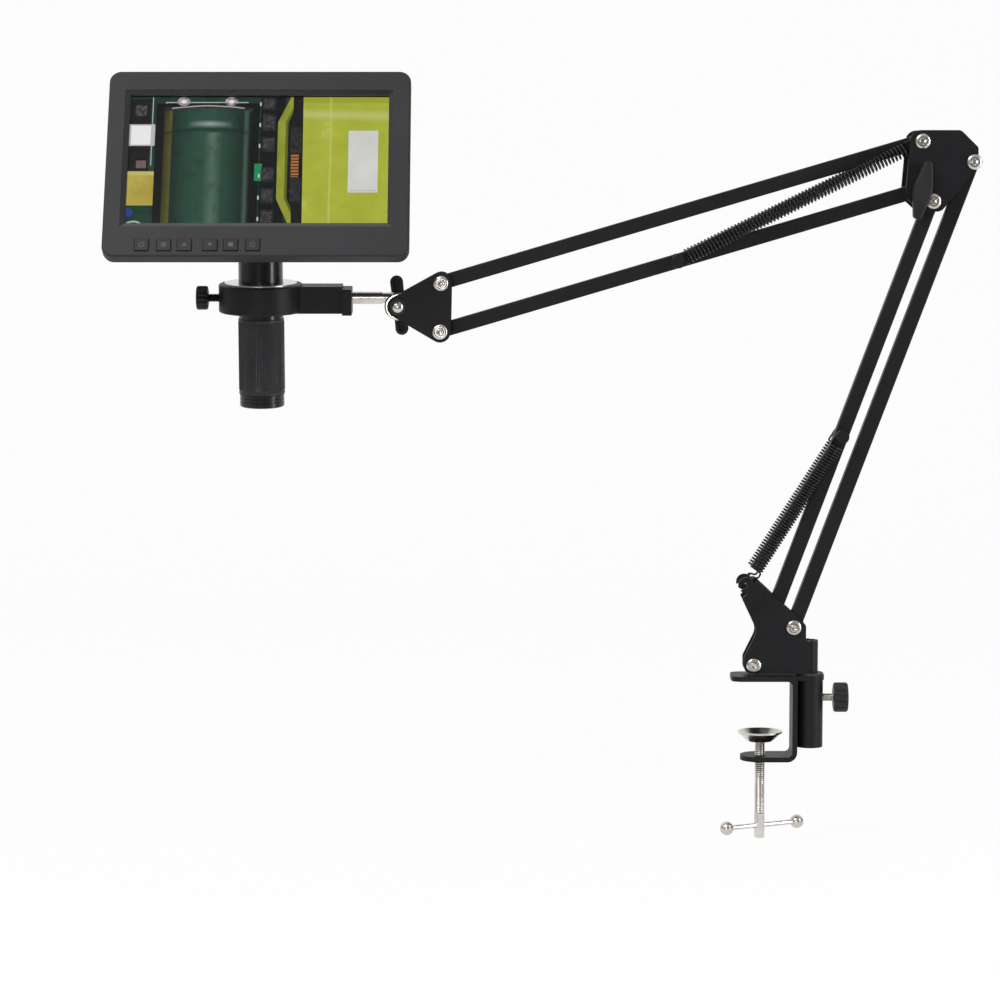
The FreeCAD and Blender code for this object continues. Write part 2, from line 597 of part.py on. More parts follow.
def knuckle_nodes():
    """Steel knuckle between the end plates with the rod that carries the holder."""
    wide = WIDE_GAP / 2 - SIDE_GAP
    eye = pin(KNUCKLE, EYE_RADIUS, -EYE_WIDE / 2, EYE_WIDE / 2)
    eye = eye.makeChamfer(0.8, [e for e in eye.Edges if len(e.Vertexes) == 1])
    eye = eye.fuse(pin(KNUCKLE, HUB_RADIUS, -wide, wide))
    x_knuckle = KNUCKLE[0]
    block = HEAD_AT.x + BLOCK_FROM_RING
    end_x = block + RUN_FIT
    neck_x = x_knuckle - ROD_NECK
    thin = ROD / 2 - 0.5
    eye = eye.fuse(rod(thin, vec(neck_x, 0, HEAD_AT.z), X_WAY, x_knuckle + ROD_START - neck_x))
    eye = eye.fuse(rod(ROD / 2, vec(end_x, 0, HEAD_AT.z), X_WAY, neck_x - end_x))
    eye = eye.cut(pin(KNUCKLE, BOLT / 2 + RUN_FIT, -wide - 1, wide + 1))
    return {"knuckle": [eye.removeSplitter()]}


def placed(shape):
    """Piece of the holder or microscope turned about the rod and moved to the ring's centre."""
    piece = shape.copy()
    piece.rotate(vec(0, 0, 0), X_WAY, HEAD_LEAN)
    piece.translate(HEAD_AT)
    return piece


def in_monitor(shape):
    """Piece of the monitor moved from the monitor's frame to the holder's."""
    piece = shape.copy()
    piece.rotate(vec(0, 0, 0), X_WAY, -MONITOR_TILT)
    piece.translate(vec(0, *MONITOR_AT))
    return piece


def holder_nodes():
    """Ring holder with its thumb screw, and the bright adapter ring that it grips."""
    bore = ADAPTER / 2 + RUN_FIT
    block_x = BLOCK_FROM_RING
    ring = rod(RING / 2, vec(0, 0, RING_LOW), Z_WAY, RING_TALL)
    ring = ring.makeChamfer(0.7, [e for e in ring.Edges if len(e.Vertexes) == 1])
    arm = box(0, block_x, -ARM_WIDE / 2, ARM_WIDE / 2, ARM_LOW, ARM_LOW + ARM_TALL)
    arm = arm.cut(rod(RING / 2 - 2.0, vec(0, 0, -RING), Z_WAY, 2 * RING))
    ring = ring.fuse(arm)
    half = BLOCK_WIDE / 2
    block = box(block_x, block_x + BLOCK_LONG, -half, half, BLOCK_LOW, BLOCK_LOW + BLOCK_TALL)
    block = block.makeFillet(1.0, [e for e in block.Edges if abs(e.Length - BLOCK_LONG) < 1e-6])
    ring = ring.fuse(block)
    ring = ring.cut(rod(bore, vec(0, 0, -RING), Z_WAY, 2 * RING))
    ring = ring.cut(rod(ROD / 2 + RUN_FIT, vec(block_x - 12.0, 0, 0), X_WAY, BLOCK_LONG + 13.0))
    ring = ring.cut(rod(RING_SCREW / 2 + RUN_FIT, vec(-RING, 0, 0), X_WAY, RING - 1))

    knob_x = RING / 2 + RING_SCREW_OUT + RING_KNOB_TALL
    knob = fluted_knob(RING_KNOB / 2, RING_KNOB_TALL, 12, RING_SCREW / 2)
    knob.rotate(vec(0, 0, 0), Y_WAY, 90)
    knob.translate(vec(-knob_x, 0, 0))
    screw = rod(RING_SCREW / 2, vec(-knob_x + 1, 0, 0), X_WAY, knob_x - 1 - bore - SIDE_GAP)
    stub = rod(ROD / 2, vec(block_x - 11.0, 0, 0), X_WAY, 11.0 + RUN_FIT)

    adapter = sleeve(ADAPTER / 2, BARREL / 2 + RUN_FIT, vec(0, 0, RING_LOW), Z_WAY, RING_TALL)
    lip_z = RING_LOW + RING_TALL + RUN_FIT
    lip = sleeve(ADAPTER_LIP_WIDE / 2, BARREL / 2 + RUN_FIT, vec(0, 0, lip_z), Z_WAY, ADAPTER_LIP)
    adapter = adapter.fuse(sleeve(ADAPTER / 2, BARREL / 2 + RUN_FIT, vec(0, 0, lip_z - 1), Z_WAY, 1.2))
    adapter = adapter.fuse(lip).removeSplitter()
    nodes = {"ring_holder": [ring], "ring_lock_knob": [knob], "ring_lock_screw": [screw],
             "adapter_ring": [adapter]}
    shown = {name: [placed(piece) for piece in pieces] for name, pieces in nodes.items()}
    return shown, placed(stub)


def barrel_nodes():
    """Barrel with its ribbed focus grip, lens cell and tip."""
    grip_low = GRIP_TOP - GRIP_LONG
    bore = BARREL / 2 - BARREL_WALL
    inner = GRIP_SLEEVE / 2
    top = barrel_top()
    end = grip_low - TIP_LONG + 3.4
    cell_bore = CELL / 2 + RUN_FIT
    shoulder = GRIP_TOP + SIDE_GAP
    barrel = spun([(cell_bore, end), (inner, end), (inner, shoulder), (BARREL / 2, shoulder),
                   (BARREL / 2, top), (bore, top), (bore, shoulder + 4), (cell_bore, shoulder + 4)])
    barrel_hole = inner + RUN_FIT
    grip = sleeve(GRIP / 2, barrel_hole, vec(0, 0, grip_low), Z_WAY, GRIP_LONG)
    groove = GRIP * math.pi / GRIP_RIBS * 0.25
    for i in range(GRIP_RIBS):
        turn = 360 / GRIP_RIBS * i
        cut = box(GRIP / 2 - 0.5, GRIP / 2 + 1, -groove, groove, grip_low + 3.0, GRIP_TOP - 2.0)
        cut.rotate(vec(0, 0, 0), Z_WAY, turn)
        grip = grip.cut(cut)
    tip_top = grip_low - SIDE_GAP
    tip_low = tip_top - TIP_LONG
    out = TIP / 2
    rim = [(out, tip_top), (out, tip_top - 1.4), (out - 0.6, tip_top - 1.4), (out - 0.6, tip_top - 2.2),
           (out, tip_top - 2.2), (out, tip_top - 3.6), (out - 0.6, tip_top - 3.6),
           (out - 0.6, tip_top - 4.4), (out, tip_top - 4.4), (out, tip_low + 0.6), (out - 0.6, tip_low)]
    tip = spun([(inner, tip_top)] + rim + [(TIP_MOUTH / 2, tip_low), (TIP_MOUTH / 2, tip_low + 1.0),
                                           (inner, tip_low + 1.0)])
    led_low = tip_low + 1.0
    led_bore = CELL / 2 + 0.4
    led = sleeve(inner - RUN_FIT, led_bore, vec(0, 0, led_low + 1.0), Z_WAY, 1.2)
    middle = (inner + led_bore) / 2
    for i in range(8):
        turn = math.radians(45 * i + 22.5)
        lamp = rod(1.05, vec(middle * math.cos(turn), middle * math.sin(turn), led_low + 0.1), Z_WAY, 1.1)
        led = led.fuse(lamp)
    cell_low = end + 1.2
    cell = sleeve(CELL / 2, LENS / 2, vec(0, 0, cell_low), Z_WAY, CELL_LONG)
    seat = cell_low + 0.6
    lens = rod(LENS / 2, vec(0, 0, seat), Z_WAY, LENS_THICK)
    curve = 14.0
    for centre in (seat + curve, seat + LENS_THICK - curve):
        lens = lens.common(Part.makeSphere(curve, vec(0, 0, centre)))
    nodes = {"scope_barrel": [barrel], "focus_grip": [grip], "tip_ring": [tip], "led_ring": [led],
             "lens_cell": [cell], "objective_lens": [lens]}
    return {name: [placed(piece) for piece in pieces] for name, pieces in nodes.items()}


def barrel_top():
    """Height at which the barrel ends inside the neck boss, under the slanted case."""
    tilt = math.radians(MONITOR_TILT)
    inset = CASE_DEEP - CASE_WALL
    y = MONITOR_AT[0] + inset * math.cos(tilt)
    z = MONITOR_AT[1] - inset * math.sin(tilt)
    return z + (-BARREL / 2 - 1.5 - y) / math.tan(tilt)


def case_corners(inset, radius):
    """Rounded rectangle of the monitor's outline, drawn in by an inset."""
    half = MONITOR_WIDE / 2 - inset
    radius = max(radius, 0.5)
    return [(-half, inset, radius), (half, inset, radius), (half, MONITOR_TALL - inset, radius),
            (-half, MONITOR_TALL - inset, radius)]


def window(inset, y0, y1):
    """Opening block of the view, drawn in by an inset."""
    x1 = VIEW_WIDE / 2 - inset
    return box(-x1, x1, y0, y1, VIEW_LOW + inset, VIEW_LOW + VIEW_TALL - inset)


def tapered_case(inset, y0, y1, depth_inset):
    """Loft of the back cover between the bezel's edge and its drawn-in back."""
    near = rounded_wire(case_corners(inset, MONITOR_CORNER), y0)
    far = rounded_wire(case_corners(depth_inset, MONITOR_CORNER), y1)
    return Part.makeLoft([near, far], True, True)


def monitor_nodes():
    """Monitor: bezel, screen stack, boards, buttons and the back cover with its neck boss."""
    wall = CASE_WALL
    outer = plate(case_corners(0, MONITOR_CORNER), 0, BEZEL_DEEP)
    front_edges = [e for e in outer.Edges if e.BoundBox.YMax < 1e-3]
    bezel = outer.makeFillet(1.2, front_edges)
    bezel = bezel.cut(plate(case_corners(wall, MONITOR_CORNER - wall), wall + 0.6, BEZEL_DEEP + 1))
    near = Part.makePolygon(window_ring(-BEVEL, -0.01))
    far = Part.makePolygon(window_ring(0, BEVEL_DEEP))
    bezel = bezel.cut(Part.makeLoft([near, far], True, True)).cut(window(0, -1, wall + 1))
    buttons = {}
    for i, x in enumerate(BUTTON_X):
        fit = BUTTON_FIT
        half_w = BUTTON_WIDE / 2
        half_t = BUTTON_TALL / 2
        bezel = bezel.cut(box(x - half_w - fit, x + half_w + fit, -1, wall + 1,
                              BUTTON_ROW - half_t - fit, BUTTON_ROW + half_t + fit))
        cap = box(x - half_w, x + half_w, -BUTTON_OUT, wall + 0.7 + BUTTON_TRAVEL,
                  BUTTON_ROW - half_t, BUTTON_ROW + half_t)
        edges = [e for e in cap.Edges if abs(e.BoundBox.YMax + BUTTON_OUT) < 1e-3]
        cap = cap.makeFillet(0.4, edges)
        edge = min(BUTTON_FLANGE, BUTTON_ROW - half_t - wall - 0.2)
        back = wall + 0.7
        flange = box(x - half_w - edge, x + half_w + edge, back, back + 0.8,
                     BUTTON_ROW - half_t - edge, BUTTON_ROW + half_t + edge)
        buttons["button_" + str(i + 1)] = [in_and_placed(cap.fuse(flange).removeSplitter())]
    glass = window(-2.0, wall + 0.65, wall + 0.65 + GLASS)
    panel_y = wall + 0.7 + GLASS
    panel = box(-VIEW_WIDE / 2 - PANEL_EDGE, VIEW_WIDE / 2 + PANEL_EDGE, panel_y, panel_y + PANEL_THICK,
                VIEW_LOW - PANEL_EDGE / 2, VIEW_LOW + VIEW_TALL + PANEL_EDGE)
    key_y = wall + 0.7 + 0.8 + BUTTON_TRAVEL + 0.5
    key_x = (BUTTON_X[0] - BUTTON_WIDE, BUTTON_X[-1] + BUTTON_WIDE)
    keys = box(key_x[0], key_x[1], key_y + 0.8, key_y + 0.8 + BOARD_THICK, wall + 0.9, VIEW_LOW - PANEL_EDGE)
    for x in BUTTON_X:
        keys = keys.fuse(box(x - 2, x + 2, key_y + 0.05, key_y + 0.9, BUTTON_ROW - 2, BUTTON_ROW + 2))
    board_y = panel_y + PANEL_THICK + 2.2
    middle = VIEW_LOW + VIEW_TALL / 2
    board = box(-52, 40, board_y, board_y + BOARD_THICK, middle - 26, middle + 24)
    for x0, z0, wide, tall, deep in ((-40, 6, 14, 14, 1.6), (-16, 2, 10, 12, 1.2), (10, 8, 12, 8, 2.0)):
        board = board.fuse(box(x0, x0 + wide, board_y + BOARD_THICK - 0.1, board_y + BOARD_THICK + deep,
                               middle + z0 - 10, middle + z0 - 10 + tall))
    posts = [(-46, middle - 20), (34, middle - 20), (-46, middle + 18), (34, middle + 18)]

    back_in = CASE_INSET + CASE_TAPER
    cover = tapered_case(CASE_INSET, BEZEL_DEEP + wall, CASE_DEEP, back_in)
    flange = plate(case_corners(0.5, MONITOR_CORNER - 0.5), BEZEL_DEEP, BEZEL_DEEP + wall)
    hollow = tapered_case(CASE_INSET + wall, BEZEL_DEEP - 1, CASE_DEEP - wall, back_in + wall)
    boss = rod(NECK_BOSS / 2, vec(0, 0, NECK_BOSS_LOW), Z_WAY, boss_top() - NECK_BOSS_LOW)
    boss = out_of_monitor(boss)
    front_of_back = box(-NECK_BOSS, NECK_BOSS, -3 * CASE_DEEP, CASE_DEEP - wall, -MONITOR_TALL, MONITOR_TALL)
    boss = boss.cut(front_of_back)
    cover = cover.fuse(flange).cut(hollow).fuse(boss)
    for x, z in posts:
        stand = sleeve(2.6, 1.0, vec(x, board_y + BOARD_THICK + 0.05, z), Y_WAY,
                       CASE_DEEP - wall - board_y - BOARD_THICK)
        cover = cover.fuse(stand)
    bore = rod(BARREL / 2 + 0.02, vec(0, 0, NECK_BOSS_LOW - 1), Z_WAY, barrel_top() - NECK_BOSS_LOW + 1.02)
    cover = cover.cut(out_of_monitor(bore))
    spots = screw_spots()
    for x, z in spots:
        cover = cover.fuse(rod(3.2, vec(x, BEZEL_DEEP + wall - 0.1, z), Y_WAY, 2.5))
        cover = cover.cut(rod(CASE_SCREW / 2 + RUN_FIT, vec(x, 0, z), Y_WAY, 3 * CASE_DEEP))
    for i in range(9):
        x = -32 + 8 * i
        cover = cover.cut(box(x - 1.0, x + 1.0, CASE_DEEP - 2 * wall, CASE_DEEP + wall,
                              MONITOR_TALL - 38, MONITOR_TALL - 24))
    port_y = (BEZEL_DEEP + CASE_DEEP) / 2
    side = MONITOR_WIDE / 2
    socket_z = middle - 8
    cover = cover.cut(rod(3.3, vec(side - CASE_INSET - 8, port_y + 1, socket_z), X_WAY, 30))
    cover = cover.cut(box(side - CASE_INSET - 8, side, port_y - 0.2, port_y + 2.2, socket_z + 14, socket_z + 28))
    jack_x = side - CASE_INSET - CASE_TAPER - wall - 0.4
    jack = box(jack_x - 12, jack_x - 0.6, port_y - 3.6, port_y + 5.4, socket_z - 4.5, socket_z + 4.5)
    jack = jack.cut(rod(3.1, vec(jack_x - 9, port_y + 1, socket_z), X_WAY, 20))
    jack = jack.fuse(rod(0.9, vec(jack_x - 9.5, port_y + 1, socket_z), X_WAY, 7))
    screws = []
    for x, z in spots:
        head_y = BEZEL_DEEP + wall + 2.4
        screws.append(rod(CASE_SCREW / 2, vec(x, BEZEL_DEEP - 2.6, z), Y_WAY, head_y - BEZEL_DEEP + 2.6)
                      .fuse(rod(2.7, vec(x, head_y, z), Y_WAY, 1.5)))
        ear = rod(3.2, vec(x, wall, z), Y_WAY, BEZEL_DEEP - wall)
        bezel = bezel.fuse(ear.cut(rod(CASE_SCREW / 2, vec(x, BEZEL_DEEP - 2.7, z), Y_WAY, 4)))
    sensor_z = barrel_top() - 9.0
    sensor = rod(BARREL / 2 - BARREL_WALL, vec(0, 0, sensor_z), Z_WAY, BOARD_THICK)
    sensor = sensor.fuse(box(-4.5, 4.5, -4.5, 4.5, sensor_z - 1.8, sensor_z + 0.1))
    nodes = {"front_bezel": bezel, "screen_glass": glass, "lcd_panel": panel, "key_board": keys,
             "main_board": board, "back_cover": cover, "power_socket": jack}
    shown = {name: [in_and_placed(piece)] for name, piece in nodes.items()}
    shown["case_screws"] = [in_and_placed(piece) for piece in screws]
    shown["sensor_board"] = [placed(sensor)]
    shown.update(buttons)
    return shown


def window_ring(inset, y):
    """Corner points of the view's rectangle at a depth, closed."""
    x1 = VIEW_WIDE / 2 - inset
    z0 = VIEW_LOW + inset
    z1 = VIEW_LOW + VIEW_TALL - inset
    return [vec(-x1, y, z0), vec(x1, y, z0), vec(x1, y, z1), vec(-x1, y, z1), vec(-x1, y, z0)]


def screw_spots():
    """Four screws through the cover's flange, one near each corner."""
    x = MONITOR_WIDE / 2 - CASE_INSET / 2 - 1.2
    low = CASE_INSET / 2 + 4.2
    return [(side * x, z) for side in (-1, 1) for z in (low + 10, MONITOR_TALL - low - 10)]


def boss_top():
    """Height at which the neck boss has sunk wholly into the slanted case."""
    tilt = math.radians(MONITOR_TILT)
    inset = CASE_DEEP - CASE_WALL
    y = MONITOR_AT[0] + inset * math.cos(tilt)
    z = MONITOR_AT[1] - inset * math.sin(tilt)
    return z + (NECK_BOSS / 2 + 1.0 - y) / math.tan(tilt)


def out_of_monitor(shape):
    """Piece of the holder's frame moved into the monitor's frame."""
    piece = shape.copy()
    piece.translate(vec(0, -MONITOR_AT[0], -MONITOR_AT[1]))
    piece.rotate(vec(0, 0, 0), X_WAY, MONITOR_TILT)
    return piece


def in_and_placed(shape):
    """Piece of the monitor moved to the boom's frame."""
    return placed(in_monitor(shape))


def arc_between(start, control, stop):
    """Arc through two equal tangent legs that meet at a control point, or a line when they are straight."""
    chord = (start + stop) * 0.5
    weight = (start - chord).Length / (start - control).Length
    if weight > 1 - 1e-9:
        return Part.makeLine(start, stop)
    middle = (chord + control * weight) * (1 / (1 + weight))
    return Part.Arc(start, middle, stop).toShape()


def biarc(start, way_out, stop, way_in):
    """Two arcs that leave one point along a direction and arrive at another along a direction."""
    across = stop - start
    total = way_out + way_in
    bend = 2 * (1 - way_out.dot(way_in))
    pull = across.dot(total)
    if bend < 1e-9:
        leg = across.dot(across) / (2 * pull)
    else:
        leg = (-pull + math.sqrt(pull * pull + bend * across.dot(across))) / bend
    first = start + way_out * leg
    last = stop - way_in * leg
    joint = (first + last) * 0.5
    return [arc_between(start, first, joint), arc_between(joint, last, stop)]


def piped(edges, start, way):
    """Wire of the spring's section swept along edges."""
    side = way.cross(Y_WAY)
    if side.Length < 1e-6:
        side = way.cross(X_WAY)
    side.normalize()
    other = way.cross(side)
    ring = []
    for i in range(COIL_SIDES):
        turn = 2 * math.pi * i / COIL_SIDES
        ring.append(start + side * (WIRE / 2 * math.cos(turn)) + other * (WIRE / 2 * math.sin(turn)))
    section = Part.makePolygon(ring + ring[:1])
    return Part.Wire(edges).makePipeShell([section], True, False)


def coil_solid(start, stop, curls):
    """Open helix between two points, ending in straight stubs along its axis, and its path points."""
    axis = stop - start
    long = axis.Length
    axis.normalize()
    over = axis.cross(Y_WAY)
    over.normalize()
    side = over.cross(axis)
    stub = WIRE
    swing = 2 * COIL_RADIUS * 0.55
    wound = long - 2 * stub - 2 * swing
    pitch = wound / curls
    lean = math.atan2(pitch, 2 * math.pi * COIL_RADIUS)

    def radial(turn):
        return side * math.cos(turn) + over * math.sin(turn)

    def on_helix(turn):
        return start + axis * (stub + swing + pitch * turn / (2 * math.pi)) + radial(turn) * COIL_RADIUS

    def tangent(turn):
        spin = over * math.cos(turn) - side * math.sin(turn)
        return spin * math.cos(lean) + axis * math.sin(lean)

    first = start + radial(-math.pi / 2) * COIL_RADIUS
    edges = [Part.makeLine(first, first + axis * stub)]
    edges += biarc(first + axis * stub, axis, on_helix(0), tangent(0))
    steps = 2 * curls
    for i in range(steps):
        edges += biarc(on_helix(math.pi * i), tangent(math.pi * i),
                       on_helix(math.pi * (i + 1)), tangent(math.pi * (i + 1)))
    end_turn = math.pi * steps
    last = stop - axis * stub + radial(end_turn + math.pi / 2) * COIL_RADIUS
    edges += biarc(on_helix(end_turn), tangent(end_turn), last, axis)
    edges.append(Part.makeLine(last, last + axis * stub))
    gap = least_gap(edges)
    return piped(edges, first, axis), first, last + axis * stub, gap


def least_gap(edges):
    """Least clear distance between a wire and itself a third of a curl or more along it."""
    points = []
    for edge in edges:
        points += edge.discretize(7)[1:]
    step = sum(edge.Length for edge in edges) / len(points)
    skip = int(2 * math.pi * COIL_RADIUS / 3 / step)
    window_long = int(2.4 * 2 * math.pi * COIL_RADIUS / step)
    least = 1e9
    for i, point in enumerate(points):
        for other in points[i + skip:i + window_long]:
            least = min(least, point.distanceToPoint(other))
    return least - WIRE


def pin_hook(joint, axis, pin_centre):
    """Hook from a coil's stub round a pin that crosses the boom: a straight and one open loop."""
    side = joint - pin_centre
    side = side - axis * side.dot(axis)
    foot = pin_centre + side
    side.normalize()
    radius = COIL_RADIUS
    edges = [Part.makeLine(joint, foot)]
    ahead = foot - joint
    ahead.normalize()
    turn = HOOK_SWEEP / 2

    def on_loop(degrees):
        angle = math.radians(degrees)
        return pin_centre + side * (radius * math.cos(angle)) + ahead * (radius * math.sin(angle))

    edges.append(Part.Arc(foot, on_loop(turn / 2), on_loop(turn)).toShape())
    edges.append(Part.Arc(on_loop(turn), on_loop(turn * 1.5), on_loop(HOOK_SWEEP)).toShape())
    return piped(edges, joint, ahead)


def spring_set(plane, anchor, anchor_start, anchor_slack, pin_at, pin_stop, pin_slack, curls):
    """One spring between two points of the boom's plane: coil, anchor hook and far hook."""
    way, long = unit(anchor, pin_at)
    axis = vec(way[0], 0, way[1])
    start = vec(anchor[0], plane, anchor[1]) + axis * anchor_start
    stop = vec(pin_at[0], plane, pin_at[1]) - axis * pin_stop
    coil, first, last, gap = coil_solid(start, stop, curls)
    near = vec(anchor[0], plane, anchor[1]) + axis * anchor_slack
    far = vec(pin_at[0], plane, pin_at[1]) - axis * pin_slack
    return coil, first, last, near, far, axis, gap


def ear_hook(joint, axis, through):
    """Hook from a coil's stub through an ear's hole: swings into the plane across the sheet."""
    reach = (joint - through).dot(axis)
    radius = COIL_RADIUS
    middle = through + axis * radius
    offset = joint - (through + axis * reach)
    offset.normalize()
    bend_end = middle + Y_WAY * radius
    edges = biarc(joint, axis * -1, bend_end, axis * -1)
    low = through
    edges.append(Part.Arc(bend_end, middle + (Y_WAY - axis) * (radius / math.sqrt(2)), low).toShape())
    edges.append(Part.Arc(low, middle - (Y_WAY + axis) * (radius / math.sqrt(2)),
                          middle - Y_WAY * radius).toShape())
    return piped(edges, joint, axis * -1)


def spring_nodes():
    """Four tension springs: a pair at the lower arm and a pair at the upper arm."""
    nodes = {"lower_spring_eyes": [], "upper_spring_eyes": []}
    gaps = []
    for name, plane in (("front", -COIL_PLANE), ("rear", COIL_PLANE)):
        coil, first, last, near, far, axis, gap = spring_set(
            plane, EAR_AT, LOWER_COIL_START, EAR_HANG, LOWER_PIN, LOWER_COIL_STOP, HOOK_SLACK,
            LOWER_CURLS)
        nodes["lower_spring_" + name] = [coil.fuse(ear_hook(first, axis, near))]
        nodes["lower_spring_eyes"].append(pin_hook(last, axis, far))
        gaps.append(gap)
        coil, first, last, near, far, axis, gap = spring_set(
            plane, UPPER_MAIN, UPPER_COIL_STOP, HOOK_SLACK, UPPER_PIN, UPPER_COIL_START, HOOK_SLACK,
            UPPER_CURLS)
        nodes["upper_spring_" + name] = [coil.fuse(pin_hook(first, axis, near))]
        nodes["upper_spring_eyes"].append(pin_hook(last, axis, far))
        gaps.append(gap)
    print("least gap of each spring to itself, mm:", [round(gap, 2) for gap in gaps])
    return nodes


def main():
    os.makedirs("parts", exist_ok=True)
    nodes = {}
    for group in (clamp_nodes, base_nodes, lower_arm_nodes, elbow_nodes, upper_arm_nodes, end_nodes,
                  knuckle_nodes, barrel_nodes, monitor_nodes, spring_nodes):
        nodes.update(group())
    holder, stub = holder_nodes()
    nodes.update(holder)
    nodes["knuckle"] = [nodes["knuckle"][0].fuse(stub)]
    for name in sorted(nodes):
        pieces = nodes[name]
        for piece in pieces:
            if not piece.isValid() or piece.Volume <= 0:
                print("check", name, piece.ShapeType, piece.isValid(), round(piece.Volume, 3))
        shape = pieces[0] if len(pieces) == 1 else Part.makeCompound(pieces)
        shape.exportStep("parts/" + name + ".step")
    print(len(nodes), "nodes")


main()
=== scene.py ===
"""Looks of the display microscope on its sprung boom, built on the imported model.

Metres, in the model's own frame: X along the boom, Y away from the front, Z up.
"""
import bpy
import bmesh
import json
import math
from mathutils import Matrix, Vector


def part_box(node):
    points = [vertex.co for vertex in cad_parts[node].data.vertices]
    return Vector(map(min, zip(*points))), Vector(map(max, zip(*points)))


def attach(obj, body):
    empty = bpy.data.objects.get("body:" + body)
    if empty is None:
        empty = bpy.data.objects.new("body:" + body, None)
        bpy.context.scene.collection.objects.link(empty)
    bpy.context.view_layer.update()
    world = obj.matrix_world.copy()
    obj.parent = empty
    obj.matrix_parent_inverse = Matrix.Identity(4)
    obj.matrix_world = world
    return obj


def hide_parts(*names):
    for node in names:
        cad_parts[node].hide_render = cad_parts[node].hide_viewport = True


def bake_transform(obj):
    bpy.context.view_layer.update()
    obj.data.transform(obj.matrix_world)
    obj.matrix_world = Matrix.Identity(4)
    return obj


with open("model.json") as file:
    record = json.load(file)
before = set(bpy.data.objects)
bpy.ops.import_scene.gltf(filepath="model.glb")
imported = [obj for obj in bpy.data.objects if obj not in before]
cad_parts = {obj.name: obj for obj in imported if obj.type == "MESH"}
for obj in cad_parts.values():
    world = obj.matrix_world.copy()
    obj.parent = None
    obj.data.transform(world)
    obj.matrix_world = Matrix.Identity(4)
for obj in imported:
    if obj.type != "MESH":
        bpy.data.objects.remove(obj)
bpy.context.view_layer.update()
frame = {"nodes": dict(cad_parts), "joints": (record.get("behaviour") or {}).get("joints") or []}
nodes = frame["nodes"]
MM = 0.001

# The camera stands in front of the boom, a little above it, with a long lens as in a studio.
# It looks at the point that the picture's centre shows.
SEEN = Vector((-0.1575, 0.0, 0.10885))
CAMERA_FAR = 2.1
CAMERA_PITCH = math.radians(5.5)
FOCAL_LENGTH = 125.57
SENSOR_WIDTH = 36.0
lens = bpy.data.cameras.new("studio_camera")
lens.lens = FOCAL_LENGTH
lens.sensor_width = SENSOR_WIDTH
lens.clip_start = 0.05
lens.clip_end = 60.0
camera = bpy.data.objects.new("studio_camera", lens)
camera.location = SEEN + Vector((0.0, -math.cos(CAMERA_PITCH), math.sin(CAMERA_PITCH))) * CAMERA_FAR
camera.rotation_euler = (math.pi / 2 - CAMERA_PITCH, 0.0, 0.0)
bpy.context.scene.collection.objects.link(camera)
bpy.context.scene.camera = camera
bpy.context.scene.view_settings.view_transform = "Standard"


class Value:
    """A shader socket with Python's operators, each of which adds its Math node."""

    def __init__(self, tree, socket):
        self.tree = tree
        self.socket = socket

    def node(self, kind, settings=None, inputs=None, out=0):
        """Adds a node of a type with its settings first, then the values or links of its sockets."""
        made = self.tree.nodes.new(kind)
        for name, setting in (settings or {}).items():
            if name == "stops":
                ramp = made.color_ramp
                while len(ramp.elements) < len(setting):
                    ramp.elements.new(0.5)
                for element, (place, colour) in zip(ramp.elements, setting):
                    element.position = place
                    element.color = colour if len(colour) == 4 else (*colour, 1.0)
            else:
                setattr(made, name, setting)
        for name, given in (inputs or {}).items():
            if isinstance(given, Value):
                self.tree.links.new(given.socket, made.inputs[name])
            else:
                made.inputs[name].default_value = given
        return Value(self.tree, made.outputs[out])

    def math(self, operation, a, b=None, c=None):
        given = {i: v for i, v in enumerate((a, b, c)) if v is not None}
        return self.node("ShaderNodeMath", {"operation": operation}, given)

    def __add__(self, other):
        return self.math("ADD", self, other)

    def __sub__(self, other):
        return self.math("SUBTRACT", self, other)

    def __rsub__(self, other):
        return self.math("SUBTRACT", other, self)

    def __mul__(self, other):
        return self.math("MULTIPLY", self, other)

    def __truediv__(self, other):
        return self.math("DIVIDE", self, other)

    def __gt__(self, other):
        return self.math("GREATER_THAN", self, other)

    def __lt__(self, other):
        return self.math("LESS_THAN", self, other)

    __radd__ = __add__
    __rmul__ = __mul__

    def sin(self):
        return self.math("SINE", self)

    def abs(self):
        return self.math("ABSOLUTE", self)

    def clamped(self):
        return self.node("ShaderNodeClamp", {}, {"Value": self})

    def between(self, low, high):
        """1 where the value lies between two limits."""
        return (self > low) * (self < high)

    def ramp(self, *stops):
        return self.node("ShaderNodeValToRGB", {"stops": stops}, {"Fac": self})

    def mixed(self, a, b):
        """Colour a where this value is 0 and b where it is 1."""
        given = {"Factor": self, 6: rgba(a), 7: rgba(b)}
        return self.node("ShaderNodeMix", {"data_type": "RGBA"}, given, 2)

    def noise(self, scale, detail=3.0, roughness=0.55):
        given = {"Vector": self, "Scale": scale, "Detail": detail, "Roughness": roughness}
        return self.node("ShaderNodeTexNoise", {}, given)

    def parts(self):
        """The three components of a vector."""
        split = self.node("ShaderNodeSeparateXYZ", {}, {"Vector": self}).socket.node
        return [Value(self.tree, socket) for socket in split.outputs]

    def scaled(self, x, y, z):
        given = {0: self, 1: (x, y, z)}
        return self.node("ShaderNodeVectorMath", {"operation": "MULTIPLY"}, given)


def rgba(colour):
    """A colour with its alpha, unless it is a link."""
    if isinstance(colour, Value) or len(colour) == 4:
        return colour
    return (*colour, 1.0)


